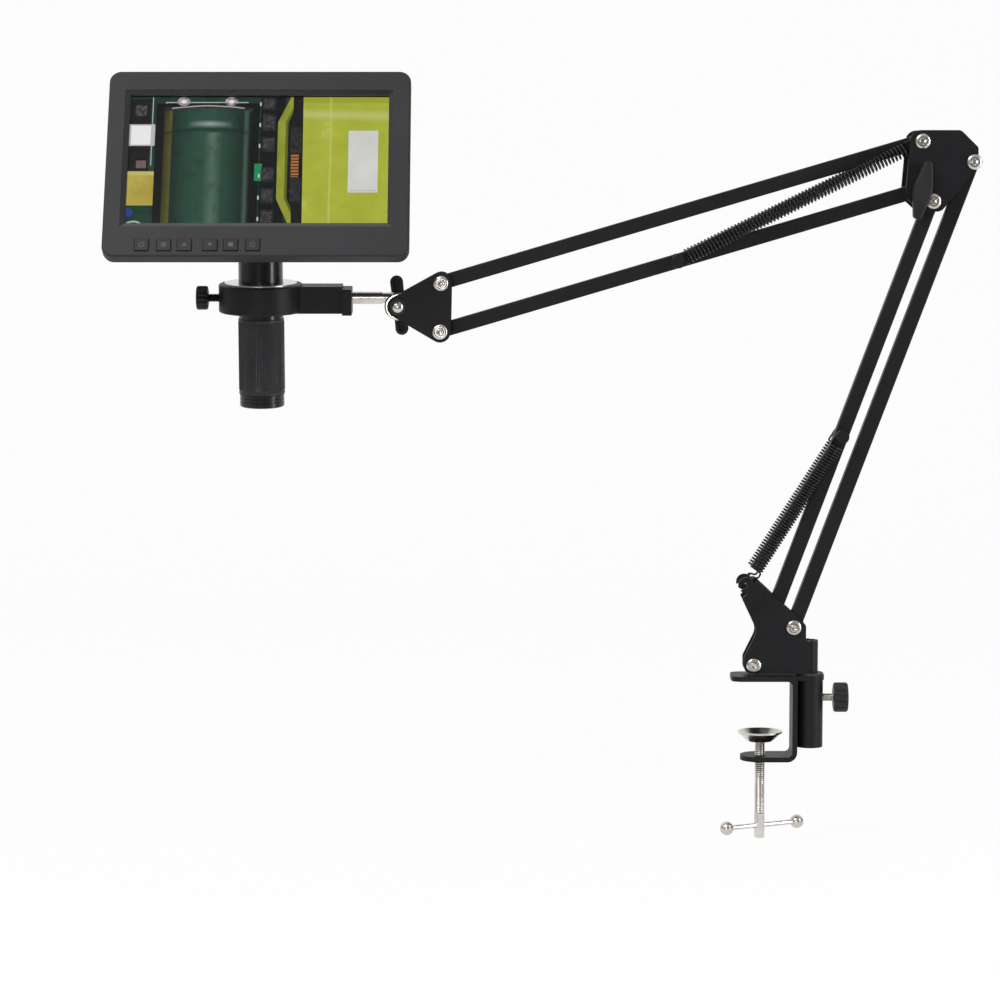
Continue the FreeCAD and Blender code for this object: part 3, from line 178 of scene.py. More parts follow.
def finish(name, sockets):
    """A material whose shader sockets come from a function of its place in the object's frame."""
    material = bpy.data.materials.new(name)
    material.use_nodes = True
    tree = material.node_tree
    shader = tree.nodes["Principled BSDF"]
    start = tree.nodes.new("ShaderNodeTexCoord")
    place = Value(tree, start.outputs["Object"])
    for socket, given in sockets(place).items():
        if isinstance(given, Value):
            tree.links.new(given.socket, shader.inputs[socket])
        else:
            shader.inputs[socket].default_value = rgba(given) if isinstance(given, tuple) else given
    return material


def bump(height, strength, distance):
    """Surface normal of a height, in metres of relief."""
    given = {"Height": height, "Strength": strength, "Distance": distance}
    return height.node("ShaderNodeBump", {}, given)


def shaded(piece, material, angle=32.0):
    """Gives a piece its one material and smooth shading that breaks at sharp edges."""
    mesh = piece.data
    mesh.materials.clear()
    mesh.materials.append(material)
    mesh.shade_smooth()
    mesh.set_sharp_from_angle(angle=math.radians(angle))
    return piece


def keep(names, material):
    """CAD nodes whose shape stays, in their finish."""
    for name in names:
        shaded(nodes[name], material)


def piece_of(name, mesh, material, body, replaced=(), angle=32.0):
    """New piece from a bmesh: it rides on a body and stands for the CAD nodes named."""
    bmesh.ops.recalc_face_normals(mesh, faces=mesh.faces)
    data = bpy.data.meshes.new(name)
    mesh.to_mesh(data)
    mesh.free()
    piece = bpy.data.objects.new(name, data)
    bpy.context.scene.collection.objects.link(piece)
    shaded(piece, material, angle)
    if body:
        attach(piece, body)
    if replaced:
        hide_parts(*replaced)
    return piece


# Floor and backdrop: one pale sweep behind and below the object. Camera and mirror rays see it
# almost wholly as white light, with a trace of the object's shadow.
SWEEP_GLOW = 0.93


def sweep_finish():
    material = bpy.data.materials.new("pale_sweep")
    material.use_nodes = True
    tree = material.node_tree
    shader = tree.nodes["Principled BSDF"]
    shader.inputs["Base Color"].default_value = (0.82, 0.82, 0.82, 1.0)
    shader.inputs["Roughness"].default_value = 0.9
    rays = Value(tree, tree.nodes.new("ShaderNodeLightPath").outputs["Is Camera Ray"])
    seen = rays
    for ray in ("Is Glossy Ray", "Is Transmission Ray"):
        seen = seen + Value(tree, rays.socket.node.outputs[ray])
    glow = rays.node("ShaderNodeEmission", {}, {"Color": (1.0, 1.0, 1.0, 1.0), "Strength": 1.0})
    paint = Value(tree, shader.outputs["BSDF"])
    mix = rays.node("ShaderNodeMixShader", {}, {0: seen.clamped() * SWEEP_GLOW, 1: paint, 2: glow})
    tree.links.new(mix.socket, tree.nodes["Material Output"].inputs["Surface"])
    return material


FLOOR_Z = -0.1025
FLOOR_FRONT_Y = -0.9
WALL_Y = 1.6
WALL_TOP_Z = 3.0
SWEEP_SIDES = (-3.2, 3.0)
BEND_RADIUS = 0.5
BEND_STEPS = 12
floor_mesh = bmesh.new()
rows = [(FLOOR_FRONT_Y, FLOOR_Z)]
for i in range(BEND_STEPS + 1):
    turn = math.radians(90 * i / BEND_STEPS)
    rows.append((WALL_Y - BEND_RADIUS + BEND_RADIUS * math.sin(turn),
                 FLOOR_Z + BEND_RADIUS - BEND_RADIUS * math.cos(turn)))
rows.append((WALL_Y, WALL_TOP_Z))
strips = [[floor_mesh.verts.new((x, y, z)) for x in SWEEP_SIDES] for y, z in rows]
for low, high in zip(strips, strips[1:]):
    floor_mesh.faces.new((low[0], low[1], high[1], high[0]))
floor_data = bpy.data.meshes.new("pale_sweep")
floor_mesh.to_mesh(floor_data)
floor_data.shade_smooth()
sweep = bpy.data.objects.new("pale_sweep", floor_data)
floor_data.materials.append(sweep_finish())
bpy.context.scene.collection.objects.link(sweep)

# Studio light: a large soft panel above on the left, a tall strip on the right for the gleam on
# round pieces, a low one behind the camera, and a room that is bright above, behind and on the
# left of the object and dim on the camera's side. To the camera the room is white.
world = bpy.data.worlds.new("studio")
bpy.context.scene.world = world
world.use_nodes = True
room_tree = world.node_tree
direction = Value(room_tree, room_tree.nodes.new("ShaderNodeTexCoord").outputs["Generated"])
across, inward, upward = direction.parts()
room_light = (inward.clamped() * 0.7 + upward.clamped() * 0.55 + (0.0 - across).clamped() * 0.25
              + (0.0 - inward).clamped() * 0.16 + 0.03)
straight = Value(room_tree, room_tree.nodes.new("ShaderNodeLightPath").outputs["Is Camera Ray"])
level = straight.mixed(room_light, (1.0, 1.0, 1.0))
sky = room_tree.nodes["Background"]
room_tree.links.new(level.socket, sky.inputs["Color"])
sky.inputs["Strength"].default_value = 1.0


def panel(name, place, size, watts):
    """Rectangular soft light aimed at the middle of the boom."""
    light = bpy.data.lights.new(name, "AREA")
    light.shape = "RECTANGLE"
    light.size, light.size_y = size
    light.energy = watts
    lamp = bpy.data.objects.new(name, light)
    lamp.location = place
    lamp.rotation_euler = (SEEN - Vector(place)).to_track_quat("-Z", "Y").to_euler()
    bpy.context.scene.collection.objects.link(lamp)


panel("key_panel", (-1.1, -1.2, 1.6), (1.2, 1.0), 26.0)
panel("side_panel", (1.05, -0.62, 0.3), (0.22, 1.0), 10.0)
panel("front_panel", (-0.5, -2.3, 0.3), (0.3, 0.4), 5.0)

# Places of the pivots, in millimetres, from the joints that turn on them.
at = {joint["name"]: Vector(joint["pos_m"]) / MM for joint in frame["joints"] if "pos_m" in joint}
BASE_LINK = at["lower_link_lean"]
BASE_MAIN = at["lower_arm_lean"]
ELBOW_MAIN = at["elbow_level"]
ELBOW_LINK = BASE_LINK + ELBOW_MAIN - BASE_MAIN
UPPER_MAIN = at["upper_arm_lift"]
UPPER_LOW = at["upper_link_lift"]
END_MAIN = at["boom_end_level"]
END_LINK = UPPER_LOW + END_MAIN - UPPER_MAIN
KNUCKLE = at["head_tilt"]
# The head leans towards the viewer about its rod, and the monitor leans back on the head.
HEAD_LEAN = Matrix.Rotation(math.radians(5.0), 4, "X")
SCREEN_TILT = Matrix.Rotation(math.radians(-34.0), 4, "X")
HEAD = Matrix.Translation(at["holder_roll"]) @ HEAD_LEAN
MONITOR = HEAD @ Matrix.Translation((0.0, -47.5, 30.5)) @ SCREEN_TILT
TO_FRONT = Matrix.Rotation(math.pi / 2, 4, "X")
TO_BACK = Matrix.Rotation(-math.pi / 2, 4, "X")
TO_RIGHT = Matrix.Rotation(math.pi / 2, 4, "Y")
TO_LEFT = Matrix.Rotation(-math.pi / 2, 4, "Y")


# Desk clamp: 3 mm steel strip bent into a jaw, with a socket tube welded behind it, all powder
# coated black. The coat is satin with a fine orange peel, a little dust and a few paler rubs.
def powder_coat(place):
    peel = place.noise(1700.0, 2.0)
    cloud = place.noise(28.0, 4.0)
    dust = (place.noise(900.0, 1.0) - 0.68).clamped() * 3.0
    rub = ((cloud - 0.62) * 6.0).clamped() * place.noise(260.0, 3.0)
    tone = (cloud * 0.7 + rub * 0.5).clamped()
    colour = tone.ramp((0.2, (0.0045, 0.0047, 0.0058)), (0.8, (0.0095, 0.0098, 0.0118)))
    colour = (dust * 0.35).clamped().mixed(colour, (0.06, 0.06, 0.064))
    return {"Base Color": colour, "Roughness": 0.36 + cloud * 0.14 + peel * 0.06,
            "Specular IOR Level": 0.2, "Normal": bump(peel, 0.32, 0.00006)}


black_coat = finish("black_powder_coat", powder_coat)
keep(["clamp_frame", "clamp_socket"], black_coat)


# Nickel hardware: the clamp's pad, screw and sliding bar, the bolts and the head's rod. Bright
# plate with fine polishing lines, slightly warm, a little duller in patches.
def nickel_plate(place):
    cloud = place.noise(90.0, 3.0)
    lines = place.scaled(300.0, 300.0, 4200.0).noise(1.0, 2.0)
    pits = ((place.noise(1400.0, 2.0) - 0.66) * 8.0).clamped()
    colour = cloud.ramp((0.3, (0.52, 0.49, 0.45)), (0.7, (0.68, 0.655, 0.62)))
    colour = (pits * 0.5).mixed(colour, (0.3, 0.26, 0.21))
    return {"Base Color": colour, "Metallic": 1.0,
            "Roughness": 0.13 + cloud * 0.1 + lines * 0.06 + pits * 0.25,
            "Normal": bump(lines, 0.1, 0.00003)}


nickel = finish("nickel_plate", nickel_plate)
keep(["clamp_pad", "tommy_bar"], nickel)


def turned(mesh, rings, count, matrix=Matrix(), closed=False):
    """Adds a solid of rings along Z, each a radius, or a function of the turn, at a height."""
    loops = []
    for radius, height in rings:
        loop = []
        for i in range(count):
            turn = 2 * math.pi * i / count
            reach = radius(turn) if callable(radius) else radius
            corner = Vector((reach * math.cos(turn), reach * math.sin(turn), height))
            loop.append(mesh.verts.new(matrix @ corner))
        loops.append(loop)
    if closed:
        loops.append(loops[0])
    for low, high in zip(loops, loops[1:]):
        for i in range(count):
            mesh.faces.new((low[i - 1], low[i], high[i], high[i - 1]))
    if not closed:
        mesh.faces.new(loops[0])
        mesh.faces.new(loops[-1])


RINGS_PER_PITCH = 8
CREST_SHAPE = 1.3


def thread_rings(radius, pitch, depth, low, high):
    """Rings of a rolled thread between two heights, with plain ends."""
    rings = [(radius - depth, low)]
    steps = int((high - low) / pitch * RINGS_PER_PITCH)
    for i in range(1, steps):
        height = low + (high - low) * i / steps

        def crest(turn, height=height):
            share = (height / pitch - turn / (2 * math.pi)) % 1
            return radius - depth * abs(2 * share - 1) ** CREST_SHAPE

        rings.append((crest, height))
    return rings + [(radius - depth, high)]


def in_metres(mesh):
    """The same mesh, drawn in millimetres, in the model's metres."""
    bmesh.ops.scale(mesh, vec=(MM, MM, MM), verts=mesh.verts)
    return mesh


# Clamp screw: rolled thread from the pad down to a flattened end that the bar slides through.
SCREW_RADIUS = 3.2
SCREW_PITCH = 1.25
SCREW_THREAD_DEPTH = 0.55
FLAT_LENGTH = 15.0
FLAT_HALF_WIDTH = 2.5
FLAT_TURN = math.radians(27.3)
low, high = (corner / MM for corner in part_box("clamp_screw"))
flat_top = low.z + FLAT_LENGTH
screw = bmesh.new()


def flattened(turn):
    """Outline of the screw's flattened end."""
    side = abs(math.cos(turn - FLAT_TURN))
    return min(SCREW_RADIUS, FLAT_HALF_WIDTH / side) if side > 1e-6 else SCREW_RADIUS


rings = [(lambda turn: flattened(turn) - 0.5, low.z), (flattened, low.z + 0.6), (flattened, flat_top)]
rings += thread_rings(SCREW_RADIUS, SCREW_PITCH, SCREW_THREAD_DEPTH, flat_top + 0.1, high.z - 2.5)
rings += [(2.4, high.z - 2.4), (2.4, high.z - 1.25), (4.2, high.z - 1.2), (3.2, high.z)]
turned(screw, rings, 40)
piece_of("clamp_screw_threaded", in_metres(screw), nickel, "clamp_screw", ["clamp_screw"], 50.0)


# Thumb screws: a short threaded stem in a fluted black plastic knob with a dished face. One locks
# the post in the clamp's socket, one grips the microscope's adapter in its ring.
def moulded_black(place):
    grain = place.noise(3200.0, 2.0)
    cloud = place.noise(60.0, 3.0)
    colour = cloud.ramp((0.25, (0.009, 0.0093, 0.0105)), (0.75, (0.018, 0.0185, 0.0205)))
    return {"Base Color": colour, "Roughness": 0.42 + cloud * 0.12, "Specular IOR Level": 0.25,
            "Normal": bump(grain, 0.3, 0.00005)}


black_plastic = finish("moulded_black_plastic", moulded_black)


def black_oxide(place):
    cloud = place.noise(220.0, 3.0)
    rub = ((place.noise(700.0, 2.0) - 0.6) * 5.0).clamped()
    colour = cloud.ramp((0.3, (0.01, 0.01, 0.011)), (0.8, (0.028, 0.028, 0.03)))
    colour = (rub * 0.3).mixed(colour, (0.14, 0.135, 0.13))
    return {"Base Color": colour, "Metallic": 0.6, "Roughness": 0.3 + cloud * 0.16,
            "Normal": bump(cloud, 0.15, 0.00004)}


blackened = finish("black_oxide", black_oxide)


KNOB_BORE = 2.7
KNOB_LOBES = 14


def fluted(radius, depth):
    """Radius of the knob's outline, cut by a flute in each lobe."""
    return lambda turn: radius - depth * (0.5 + 0.5 * math.cos(KNOB_LOBES * turn)) ** 2.2


def thumb_knob(name, radius, tall, matrix, body, replaced):
    """Fluted knob standing on the given frame's Z, with a rounded rim and a dished end."""
    knob = bmesh.new()
    rings = [(KNOB_BORE, 0.0), (radius - 2.2, 0.0), (fluted(radius - 0.7, 0.5), 0.25),
             (fluted(radius, 0.95), 1.1), (fluted(radius, 0.95), tall - 1.1),
             (fluted(radius - 0.25, 0.8), tall - 0.5), (fluted(radius - 0.8, 0.5), tall - 0.1),
             (radius - 2.0, tall), (radius - 2.8, tall - 0.35), (KNOB_BORE, tall - 0.35)]
    turned(knob, rings, KNOB_LOBES * 10, matrix, closed=True)
    piece_of(name, in_metres(knob), black_plastic, body, [replaced])


M5_RADIUS = 2.5
M5_PITCH = 0.8


def stem(name, node, metal, matrix, length, threaded):
    """Threaded stem along the given frame's Z, with a turned end. Its body has its node's name."""
    rod = bmesh.new()
    rings = [(M5_RADIUS - 0.9, 0.0), (M5_RADIUS - 0.5, 0.6)]
    rings += thread_rings(M5_RADIUS, M5_PITCH, 0.42, 0.7, threaded)
    rings += [(M5_RADIUS - 0.3, threaded + 0.1), (M5_RADIUS - 0.3, length)]
    turned(rod, rings, 36, matrix)
    piece_of(name, in_metres(rod), metal, node, [node], 50.0)


for name, on_right, radius, metal, slot in (("base", True, 8.95, nickel, "nickel"),
                                            ("ring", False, 7.15, blackened, "black_screw")):
    lock_knob, lock_screw = name + "_lock_knob", name + "_lock_screw"
    low, high = (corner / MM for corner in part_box(lock_knob))
    screw_low, screw_high = (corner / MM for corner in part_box(lock_screw))
    middle = (low + high) / 2
    face = low.x if on_right else high.x
    tail = screw_low.x if on_right else screw_high.x
    aim = TO_RIGHT if on_right else HEAD_LEAN @ TO_LEFT
    thumb_knob(name + "_thumb_knob", radius, abs(high.x - low.x),
               Matrix.Translation((face, middle.y, middle.z)) @ aim, lock_knob, lock_knob)
    stem(name + "_thumb_stem", lock_screw, metal,
         Matrix.Translation((tail, middle.y, middle.z)) @ aim,
         screw_high.x - screw_low.x, abs(face - tail) + 0.5)

# Base: a round post with two welded sheet cheeks whose ears are joggled out to the springs. It
# turns in the socket on a plastic washer.
keep(["post", "base_cheek_front", "base_cheek_rear"], black_coat)


def dark_nylon(place):
    cloud = place.noise(400.0, 3.0)
    colour = cloud.ramp((0.3, (0.014, 0.014, 0.015)), (0.8, (0.03, 0.03, 0.032)))
    return {"Base Color": colour, "Roughness": 0.5 + cloud * 0.15, "Normal": bump(cloud, 0.2, 0.00004)}


nylon = finish("dark_nylon", dark_nylon)
keep(["base_washers", "elbow_sleeves", "end_sleeves"], nylon)


# Bolts: nickel heads at the front, each a flange with a groove round a raised hexagon socket, and
# plain nuts at the back.
def hexed(flats, cap=99.0):
    """Radius of a hexagon across its flats, rounded off at a cap."""
    half = math.radians(30)
    return lambda turn: min(cap, flats / 2 / math.cos((turn + half) % (2 * half) - half))


SOCKET_FLATS = 2.6
NUT_FLATS = 8.0
SHANK_RADIUS = 2.45
BOLT_HEAD = [(2.5, 0.0), (4.5, 0.0), (4.65, 0.15), (4.65, 0.55), (4.45, 0.95), (3.95, 1.35), (3.3, 1.55),
             (3.05, 1.45), (2.95, 0.9), (2.45, 0.9), (2.4, 2.1), (2.2, 2.45), (1.75, 2.6),
             (hexed(SOCKET_FLATS), 2.5), (hexed(SOCKET_FLATS), 1.1), (0.4, 0.9)]
NUT = [(hexed(NUT_FLATS, 4.0), 0.0), (hexed(NUT_FLATS, 4.5), 0.4), (hexed(NUT_FLATS, 4.5), 3.6),
       (hexed(NUT_FLATS, 4.0), 4.0)]


def bolt(mesh, point, head_y, nut_y):
    """Adds a button-head bolt across the boom, from its head at the front to its nut behind."""
    head = Matrix.Translation((point.x, head_y, point.z)) @ TO_FRONT
    turned(mesh, BOLT_HEAD, 48, head)
    tail = Matrix.Translation((point.x, nut_y, point.z)) @ TO_BACK
    turned(mesh, [(SHANK_RADIUS, head_y - nut_y + 0.2), (SHANK_RADIUS, -0.2)], 32, tail)
    turned(mesh, NUT, 48, tail)
    turned(mesh, thread_rings(M5_RADIUS, M5_PITCH, 0.4, 4.0, 4.8), 32, tail)


# The cheeks of the base and the plates of the boom stand this far from its middle plane. The elbow
# also has the wing knob's bolt, and the end its pivot, a dome in a blackened collar.
BASE_OUT = 6.9
PLATE_OUT = 13.0
DOME_RADIUS = 3.45
DOME_RISE = 1.7
for name, body, points, out in (("base", "base", (BASE_LINK, BASE_MAIN), BASE_OUT),
                                ("elbow", "elbow", (UPPER_MAIN, ELBOW_MAIN, ELBOW_LINK), PLATE_OUT),
                                ("end", "boom_end", (END_MAIN, END_LINK), PLATE_OUT)):
    bolts = bmesh.new()
    for point in points:
        bolt(bolts, point, -out, out)
    if name == "elbow":
        turned(bolts, [(2.5, -33.3), (2.5, 0.0), (5.6, 0.0), (5.6, 1.9), (5.3, 2.2)], 48,
               Matrix.Translation((UPPER_LOW.x, out, UPPER_LOW.z)) @ TO_BACK)
    if name == "end":
        turned(bolts, [(2.5, -26.0), (2.5, 10.0)], 40,
               Matrix.Translation((KNUCKLE.x, out, KNUCKLE.z)) @ TO_BACK)
        pivot = Matrix.Translation((KNUCKLE.x, -out, KNUCKLE.z)) @ TO_FRONT
        dome = [(DOME_RADIUS, 0.2), (DOME_RADIUS, 1.0)]
        dome += [(DOME_RADIUS * math.cos(math.radians(a)), 1.0 + DOME_RISE * math.sin(math.radians(a)))
                 for a in range(15, 90, 15)]
        turned(bolts, dome + [(0.3, 2.7)], 56, pivot)
        collar = bmesh.new()
        turned(collar, [(3.5, 0.0), (4.8, 0.0), (4.8, 0.6), (4.6, 0.85), (3.7, 0.85), (3.5, 0.7)], 56,
               pivot, closed=True)
        piece_of("pivot_collar", in_metres(collar), blackened, body, [name + "_fasteners"])
    piece_of(name + "_bolts", in_metres(bolts), nickel, body, [name + "_fasteners"])

# Arms: square steel tubes with rounded corners, in the same coat, and the flat-headed pins that
# the springs pull on. The plates of elbow and end are sheet steel, the two wing nuts moulded.
keep(["lower_main_tube", "lower_link_tube", "upper_main_tube", "upper_link_tube", "lower_spring_bolt",
      "upper_spring_bolt", "elbow_plate_front", "elbow_plate_rear", "end_plate_front", "end_plate_rear"],
     black_coat)
keep(["elbow_wing_knob", "end_wing_nut"], black_plastic)

# Springs: four tension springs of black oiled wire, closely wound, each with a hook at both ends.
# The lower pair hangs in the ears of the base, the upper pair round the elbow's bolt.
WIRE_RADIUS = 0.6
COIL_RADIUS = 3.7
SPRING_PLANE = 9.3
START_GAP, STOP_GAP = 8.4, 4.0
HOOK_SWEEP = math.radians(285)


def oiled_wire(place):
    cloud = place.noise(500.0, 2.0)
    rub = ((place.noise(1100.0, 1.0) - 0.6) * 5.0).clamped()
    colour = cloud.ramp((0.3, (0.008, 0.008, 0.009)), (0.8, (0.02, 0.02, 0.022)))
    colour = (rub * 0.2).mixed(colour, (0.08, 0.075, 0.07))
    return {"Base Color": colour, "Metallic": 0.55, "Roughness": 0.28 + cloud * 0.14}


spring_wire = finish("oiled_spring_wire", oiled_wire)


def swept(mesh, points, radius, sides=8):
    """Adds a round wire along points, with flat ends."""
    loops = []
    normal = (points[1] - points[0]).orthogonal()
    for i, point in enumerate(points):
        ahead = (points[min(i + 1, len(points) - 1)] - points[max(i - 1, 0)]).normalized()
        normal = (normal - ahead * normal.dot(ahead)).normalized()
        other = ahead.cross(normal)
        loop = []
        for k in range(sides):
            turn = 2 * math.pi * k / sides
            loop.append(mesh.verts.new(point + (normal * math.cos(turn) + other * math.sin(turn)) * radius))
        loops.append(loop)
    for near, far in zip(loops, loops[1:]):
        for k in range(sides):
            mesh.faces.new((near[k - 1], near[k], far[k], far[k - 1]))
    mesh.faces.new(loops[0])
    mesh.faces.new(loops[-1])


def eased(start, start_way, stop, stop_way, pull, count):
    """Points of a smooth bend between two points that leave and arrive along directions."""
    points = []
    for i in range(1, count):
        t = i / count
        a, b, c, d = (1 - t) ** 3, 3 * t * (1 - t) ** 2, 3 * t * t * (1 - t), t ** 3
        points.append(start * a + (start + start_way * pull) * b + (stop - stop_way * pull) * c + stop * d)
    return points


def hook_round(centre, way, offset):
    """Open loop round a bolt, from its free end to where the straight leg leaves it."""
    steps = 28
    return [centre + offset * (COIL_RADIUS * math.cos(HOOK_SWEEP * i / steps))
            + way * (COIL_RADIUS * math.sin(HOOK_SWEEP * i / steps)) for i in range(steps, -1, -1)]


def spring_line(anchor, pin, curls, in_ear):
    """Centre line of one spring: near hook, coil of closely wound curls, far hook round its pin."""
    axis = (pin - anchor).normalized()
    over = axis.cross(Vector((0, 1, 0))).normalized()
    side = over.cross(axis)
    first = anchor + axis * START_GAP
    length = (pin - anchor).length - START_GAP - STOP_GAP
    stub, swing = 0.5, 2.0
    pitch = (length - 2 * stub - 2 * swing) / curls

    def on_coil(along, turn):
        """Point of the coil's cylinder at a distance along it."""
        return first + axis * along + (side * math.cos(turn) + over * math.sin(turn)) * COIL_RADIUS

    points = []
    leg = first - over * COIL_RADIUS
    if in_ear:
        across = Vector((0, 1, 0))
        through = anchor + axis * 0.85
        middle = through + axis * COIL_RADIUS
        points += [middle - (across * math.cos(t) + axis * math.sin(t)) * COIL_RADIUS
                   for t in (math.pi * i / 18 for i in range(-3, 19))]
        points += eased(points[-1], axis, leg, axis, 2.6, 8)
    else:
        points += hook_round(anchor + axis * 0.08, -axis, -over)
        points += [leg - axis * 1.5]
    points += [leg, leg + axis * stub]
    steps = 12
    for i in range(1, steps):
        t = i / steps
        points.append(on_coil(stub + swing * (2 * t - t * t), -math.pi / 2 + math.pi / 2 * t * t))
    per_curl = 22
    for i in range(per_curl * curls + 1):
        points.append(on_coil(stub + swing + pitch * i / per_curl, 2 * math.pi * i / per_curl))
    for i in range(1, steps):
        t = 1 - i / steps
        points.append(on_coil(length - stub - swing * (2 * t - t * t), math.pi / 2 - math.pi / 2 * t * t))
    end = first + axis * length + over * COIL_RADIUS
    points += [end - axis * stub, end, end + axis * 1.5]
    points += reversed(hook_round(pin - axis * 0.08, axis, over))
    return points


EAR_AT = at["lower_spring_swing"]
pins = {name: sum(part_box(name), Vector()) / 2 / MM for name in ("lower_spring_bolt", "upper_spring_bolt")}
for arm, anchor, curls, in_ear in (("lower", EAR_AT, 48, True), ("upper", UPPER_MAIN, 64, False)):
    pin = pins[arm + "_spring_bolt"]
    for side_name, plane in (("front", -SPRING_PLANE), ("rear", SPRING_PLANE)):
        offset = Vector((0, plane, 0))
        near = Vector((anchor.x, 0, anchor.z)) + offset
        far = Vector((pin.x, 0, pin.z)) + offset
        coil = bmesh.new()
        swept(coil, spring_line(near, far, curls, in_ear), WIRE_RADIUS)
        made = piece_of(arm + "_spring_wound_" + side_name, in_metres(coil), spring_wire, None,
                        [arm + "_spring_" + side_name, arm + "_spring_eyes"], 60.0)
        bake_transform(made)

# Head's knuckle and ring: a nickel rod in a steel eye, and a die-cast aluminium ring with a flat
# arm and a square end block, black coated, round a satin turned adapter.
keep(["knuckle"], nickel)
keep(["ring_holder"], black_coat)


def head_place(place, frame_matrix):
    """Coordinates, in millimetres, in a frame of the head."""
    origin = tuple(frame_matrix.to_translation() * MM)
    moved = place.node("ShaderNodeVectorMath", {"operation": "SUBTRACT"}, {0: place, 1: origin})
    ways = [tuple(way / MM) for way in frame_matrix.to_3x3().col]
    return [place.node("ShaderNodeVectorMath", {"operation": "DOT_PRODUCT"}, {0: moved, 1: way}, 1)
            for way in ways]


def turned_aluminium(place):
    x, y = head_place(place, HEAD)[:2]
    radius = place.math("SQRT", x * x + y * y)
    lines = (radius * 18.0).sin() * 0.5 + 0.5
    cloud = place.noise(150.0, 3.0)
    colour = cloud.ramp((0.3, (0.62, 0.63, 0.65)), (0.8, (0.74, 0.75, 0.77)))
    return {"Base Color": colour, "Metallic": 1.0, "Roughness": 0.2 + cloud * 0.1 + lines * 0.06,
            "Normal": bump(lines, 0.25, 0.00003)}


keep(["adapter_ring"], finish("turned_aluminium", turned_aluminium))


# Barrel: a turned tube, gloss black anodised, with a focus grip of fine straight ribs over it and
# a grooved ring at the tip that holds the lamps and the lens cell.
def gloss_black(place):
    cloud = place.noise(45.0, 3.0)
    lines = place.scaled(200.0, 200.0, 5200.0).noise(1.0, 2.0)
    colour = cloud.ramp((0.3, (0.0045, 0.0045, 0.005)), (0.8, (0.008, 0.008, 0.009)))
    return {"Base Color": colour, "Roughness": 0.17 + cloud * 0.08 + lines * 0.05,
            "Specular IOR Level": 0.35, "Normal": bump(lines, 0.06, 0.00003)}


barrel_black = finish("gloss_black_anodised", gloss_black)
keep(["scope_barrel", "tip_ring"], barrel_black)


def grip_black(place):
    cloud = place.noise(300.0, 3.0)
    colour = cloud.ramp((0.25, (0.011, 0.0115, 0.013)), (0.8, (0.022, 0.023, 0.026)))
    return {"Base Color": colour, "Roughness": 0.38 + cloud * 0.12, "Specular IOR Level": 0.35,
            "Normal": bump(cloud, 0.2, 0.00004)}


RIBS = 56
RIB_DEPTH = 0.75
GRIP_OUTER = 13.8
GRIP_BORE = 11.9
GRIP_TOP, GRIP_LOW = -12.1, -57.9


def ribbed(depth):
    """Radius of the grip's outline, cut between its ribs."""
    return lambda turn: GRIP_OUTER - depth * (0.5 + 0.5 * math.cos(RIBS * turn)) ** 0.7


grip_rings = [(GRIP_BORE, GRIP_LOW), (13.3, GRIP_LOW), (GRIP_OUTER, GRIP_LOW + 0.4),
              (GRIP_OUTER, GRIP_LOW + 1.6), (GRIP_OUTER - 0.35, GRIP_LOW + 1.8),
              (GRIP_OUTER - 0.35, GRIP_LOW + 2.3), (ribbed(0.2), GRIP_LOW + 2.6),
              (ribbed(RIB_DEPTH), GRIP_LOW + 3.2), (ribbed(RIB_DEPTH), GRIP_TOP - 2.2),
              (ribbed(0.2), GRIP_TOP - 1.7), (GRIP_OUTER - 0.1, GRIP_TOP - 1.4),
              (GRIP_OUTER - 0.1, GRIP_TOP - 0.4), (13.3, GRIP_TOP), (GRIP_BORE, GRIP_TOP)]
grip = bmesh.new()
turned(grip, grip_rings, RIBS * 6, HEAD, closed=True)
piece_of("ribbed_grip", in_metres(grip), finish("ribbed_grip_black", grip_black), "focus_grip",
         ["focus_grip"], 50.0)


def matte_black(place):
    cloud = place.noise(250.0, 3.0)
    colour = cloud.ramp((0.3, (0.007, 0.007, 0.007)), (0.8, (0.013, 0.013, 0.013)))
    return {"Base Color": colour, "Roughness": 0.62 + cloud * 0.1, "Normal": bump(cloud, 0.2, 0.00004)}


def coated_lens(place):
    cloud = place.noise(60.0, 2.0)
    colour = cloud.ramp((0.3, (0.02, 0.012, 0.045)), (0.8, (0.012, 0.03, 0.05)))
    return {"Base Color": colour, "Roughness": 0.03 + cloud * 0.02, "Coat Weight": 1.0}


keep(["lens_cell"], finish("matte_black_cell", matte_black))
keep(["objective_lens"], finish("coated_lens", coated_lens))


# Boards: green solder mask with fine tracks, tinned pads and dark chips. The lamp board faces down
# at the tip, and its eight lamps are pale yellow.
def circuit_board(place):
    tracks = {"Vector": place, "Scale": 420.0, "Mortar Size": 0.012, "Color1": (0.03, 0.2, 0.09, 1.0),
              "Color2": (0.025, 0.15, 0.07, 1.0), "Mortar": (0.08, 0.3, 0.14, 1.0)}
    grid = place.node("ShaderNodeTexBrick", {"offset": 0.5, "squash": 1.0}, tracks)
    pads = ((place.noise(700.0, 1.0) - 0.66).clamped() * 9.0).clamped()
    colour = pads.mixed(grid, (0.7, 0.69, 0.66))
    return {"Base Color": colour, "Roughness": 0.34 + pads * 0.1, "Normal": bump(pads, 0.3, 0.00006)}


board = finish("green_circuit_board", circuit_board)
keep(["key_board", "main_board", "sensor_board"], board)


LAMPS_BELOW = -63.45


def lamp_board(place):
    along = head_place(place, HEAD)[2]
    lamps = ((place.noise(900.0, 1.0) * 0.2) + (along < LAMPS_BELOW)).clamped()
    colour = lamps.mixed((0.75, 0.76, 0.74), (0.95, 0.85, 0.35))
    return {"Base Color": colour, "Roughness": 0.4 - lamps * 0.2,
            "Normal": bump(place.noise(1200.0, 1.0), 0.2, 0.00004)}


keep(["led_ring"], finish("lamp_board", lamp_board))


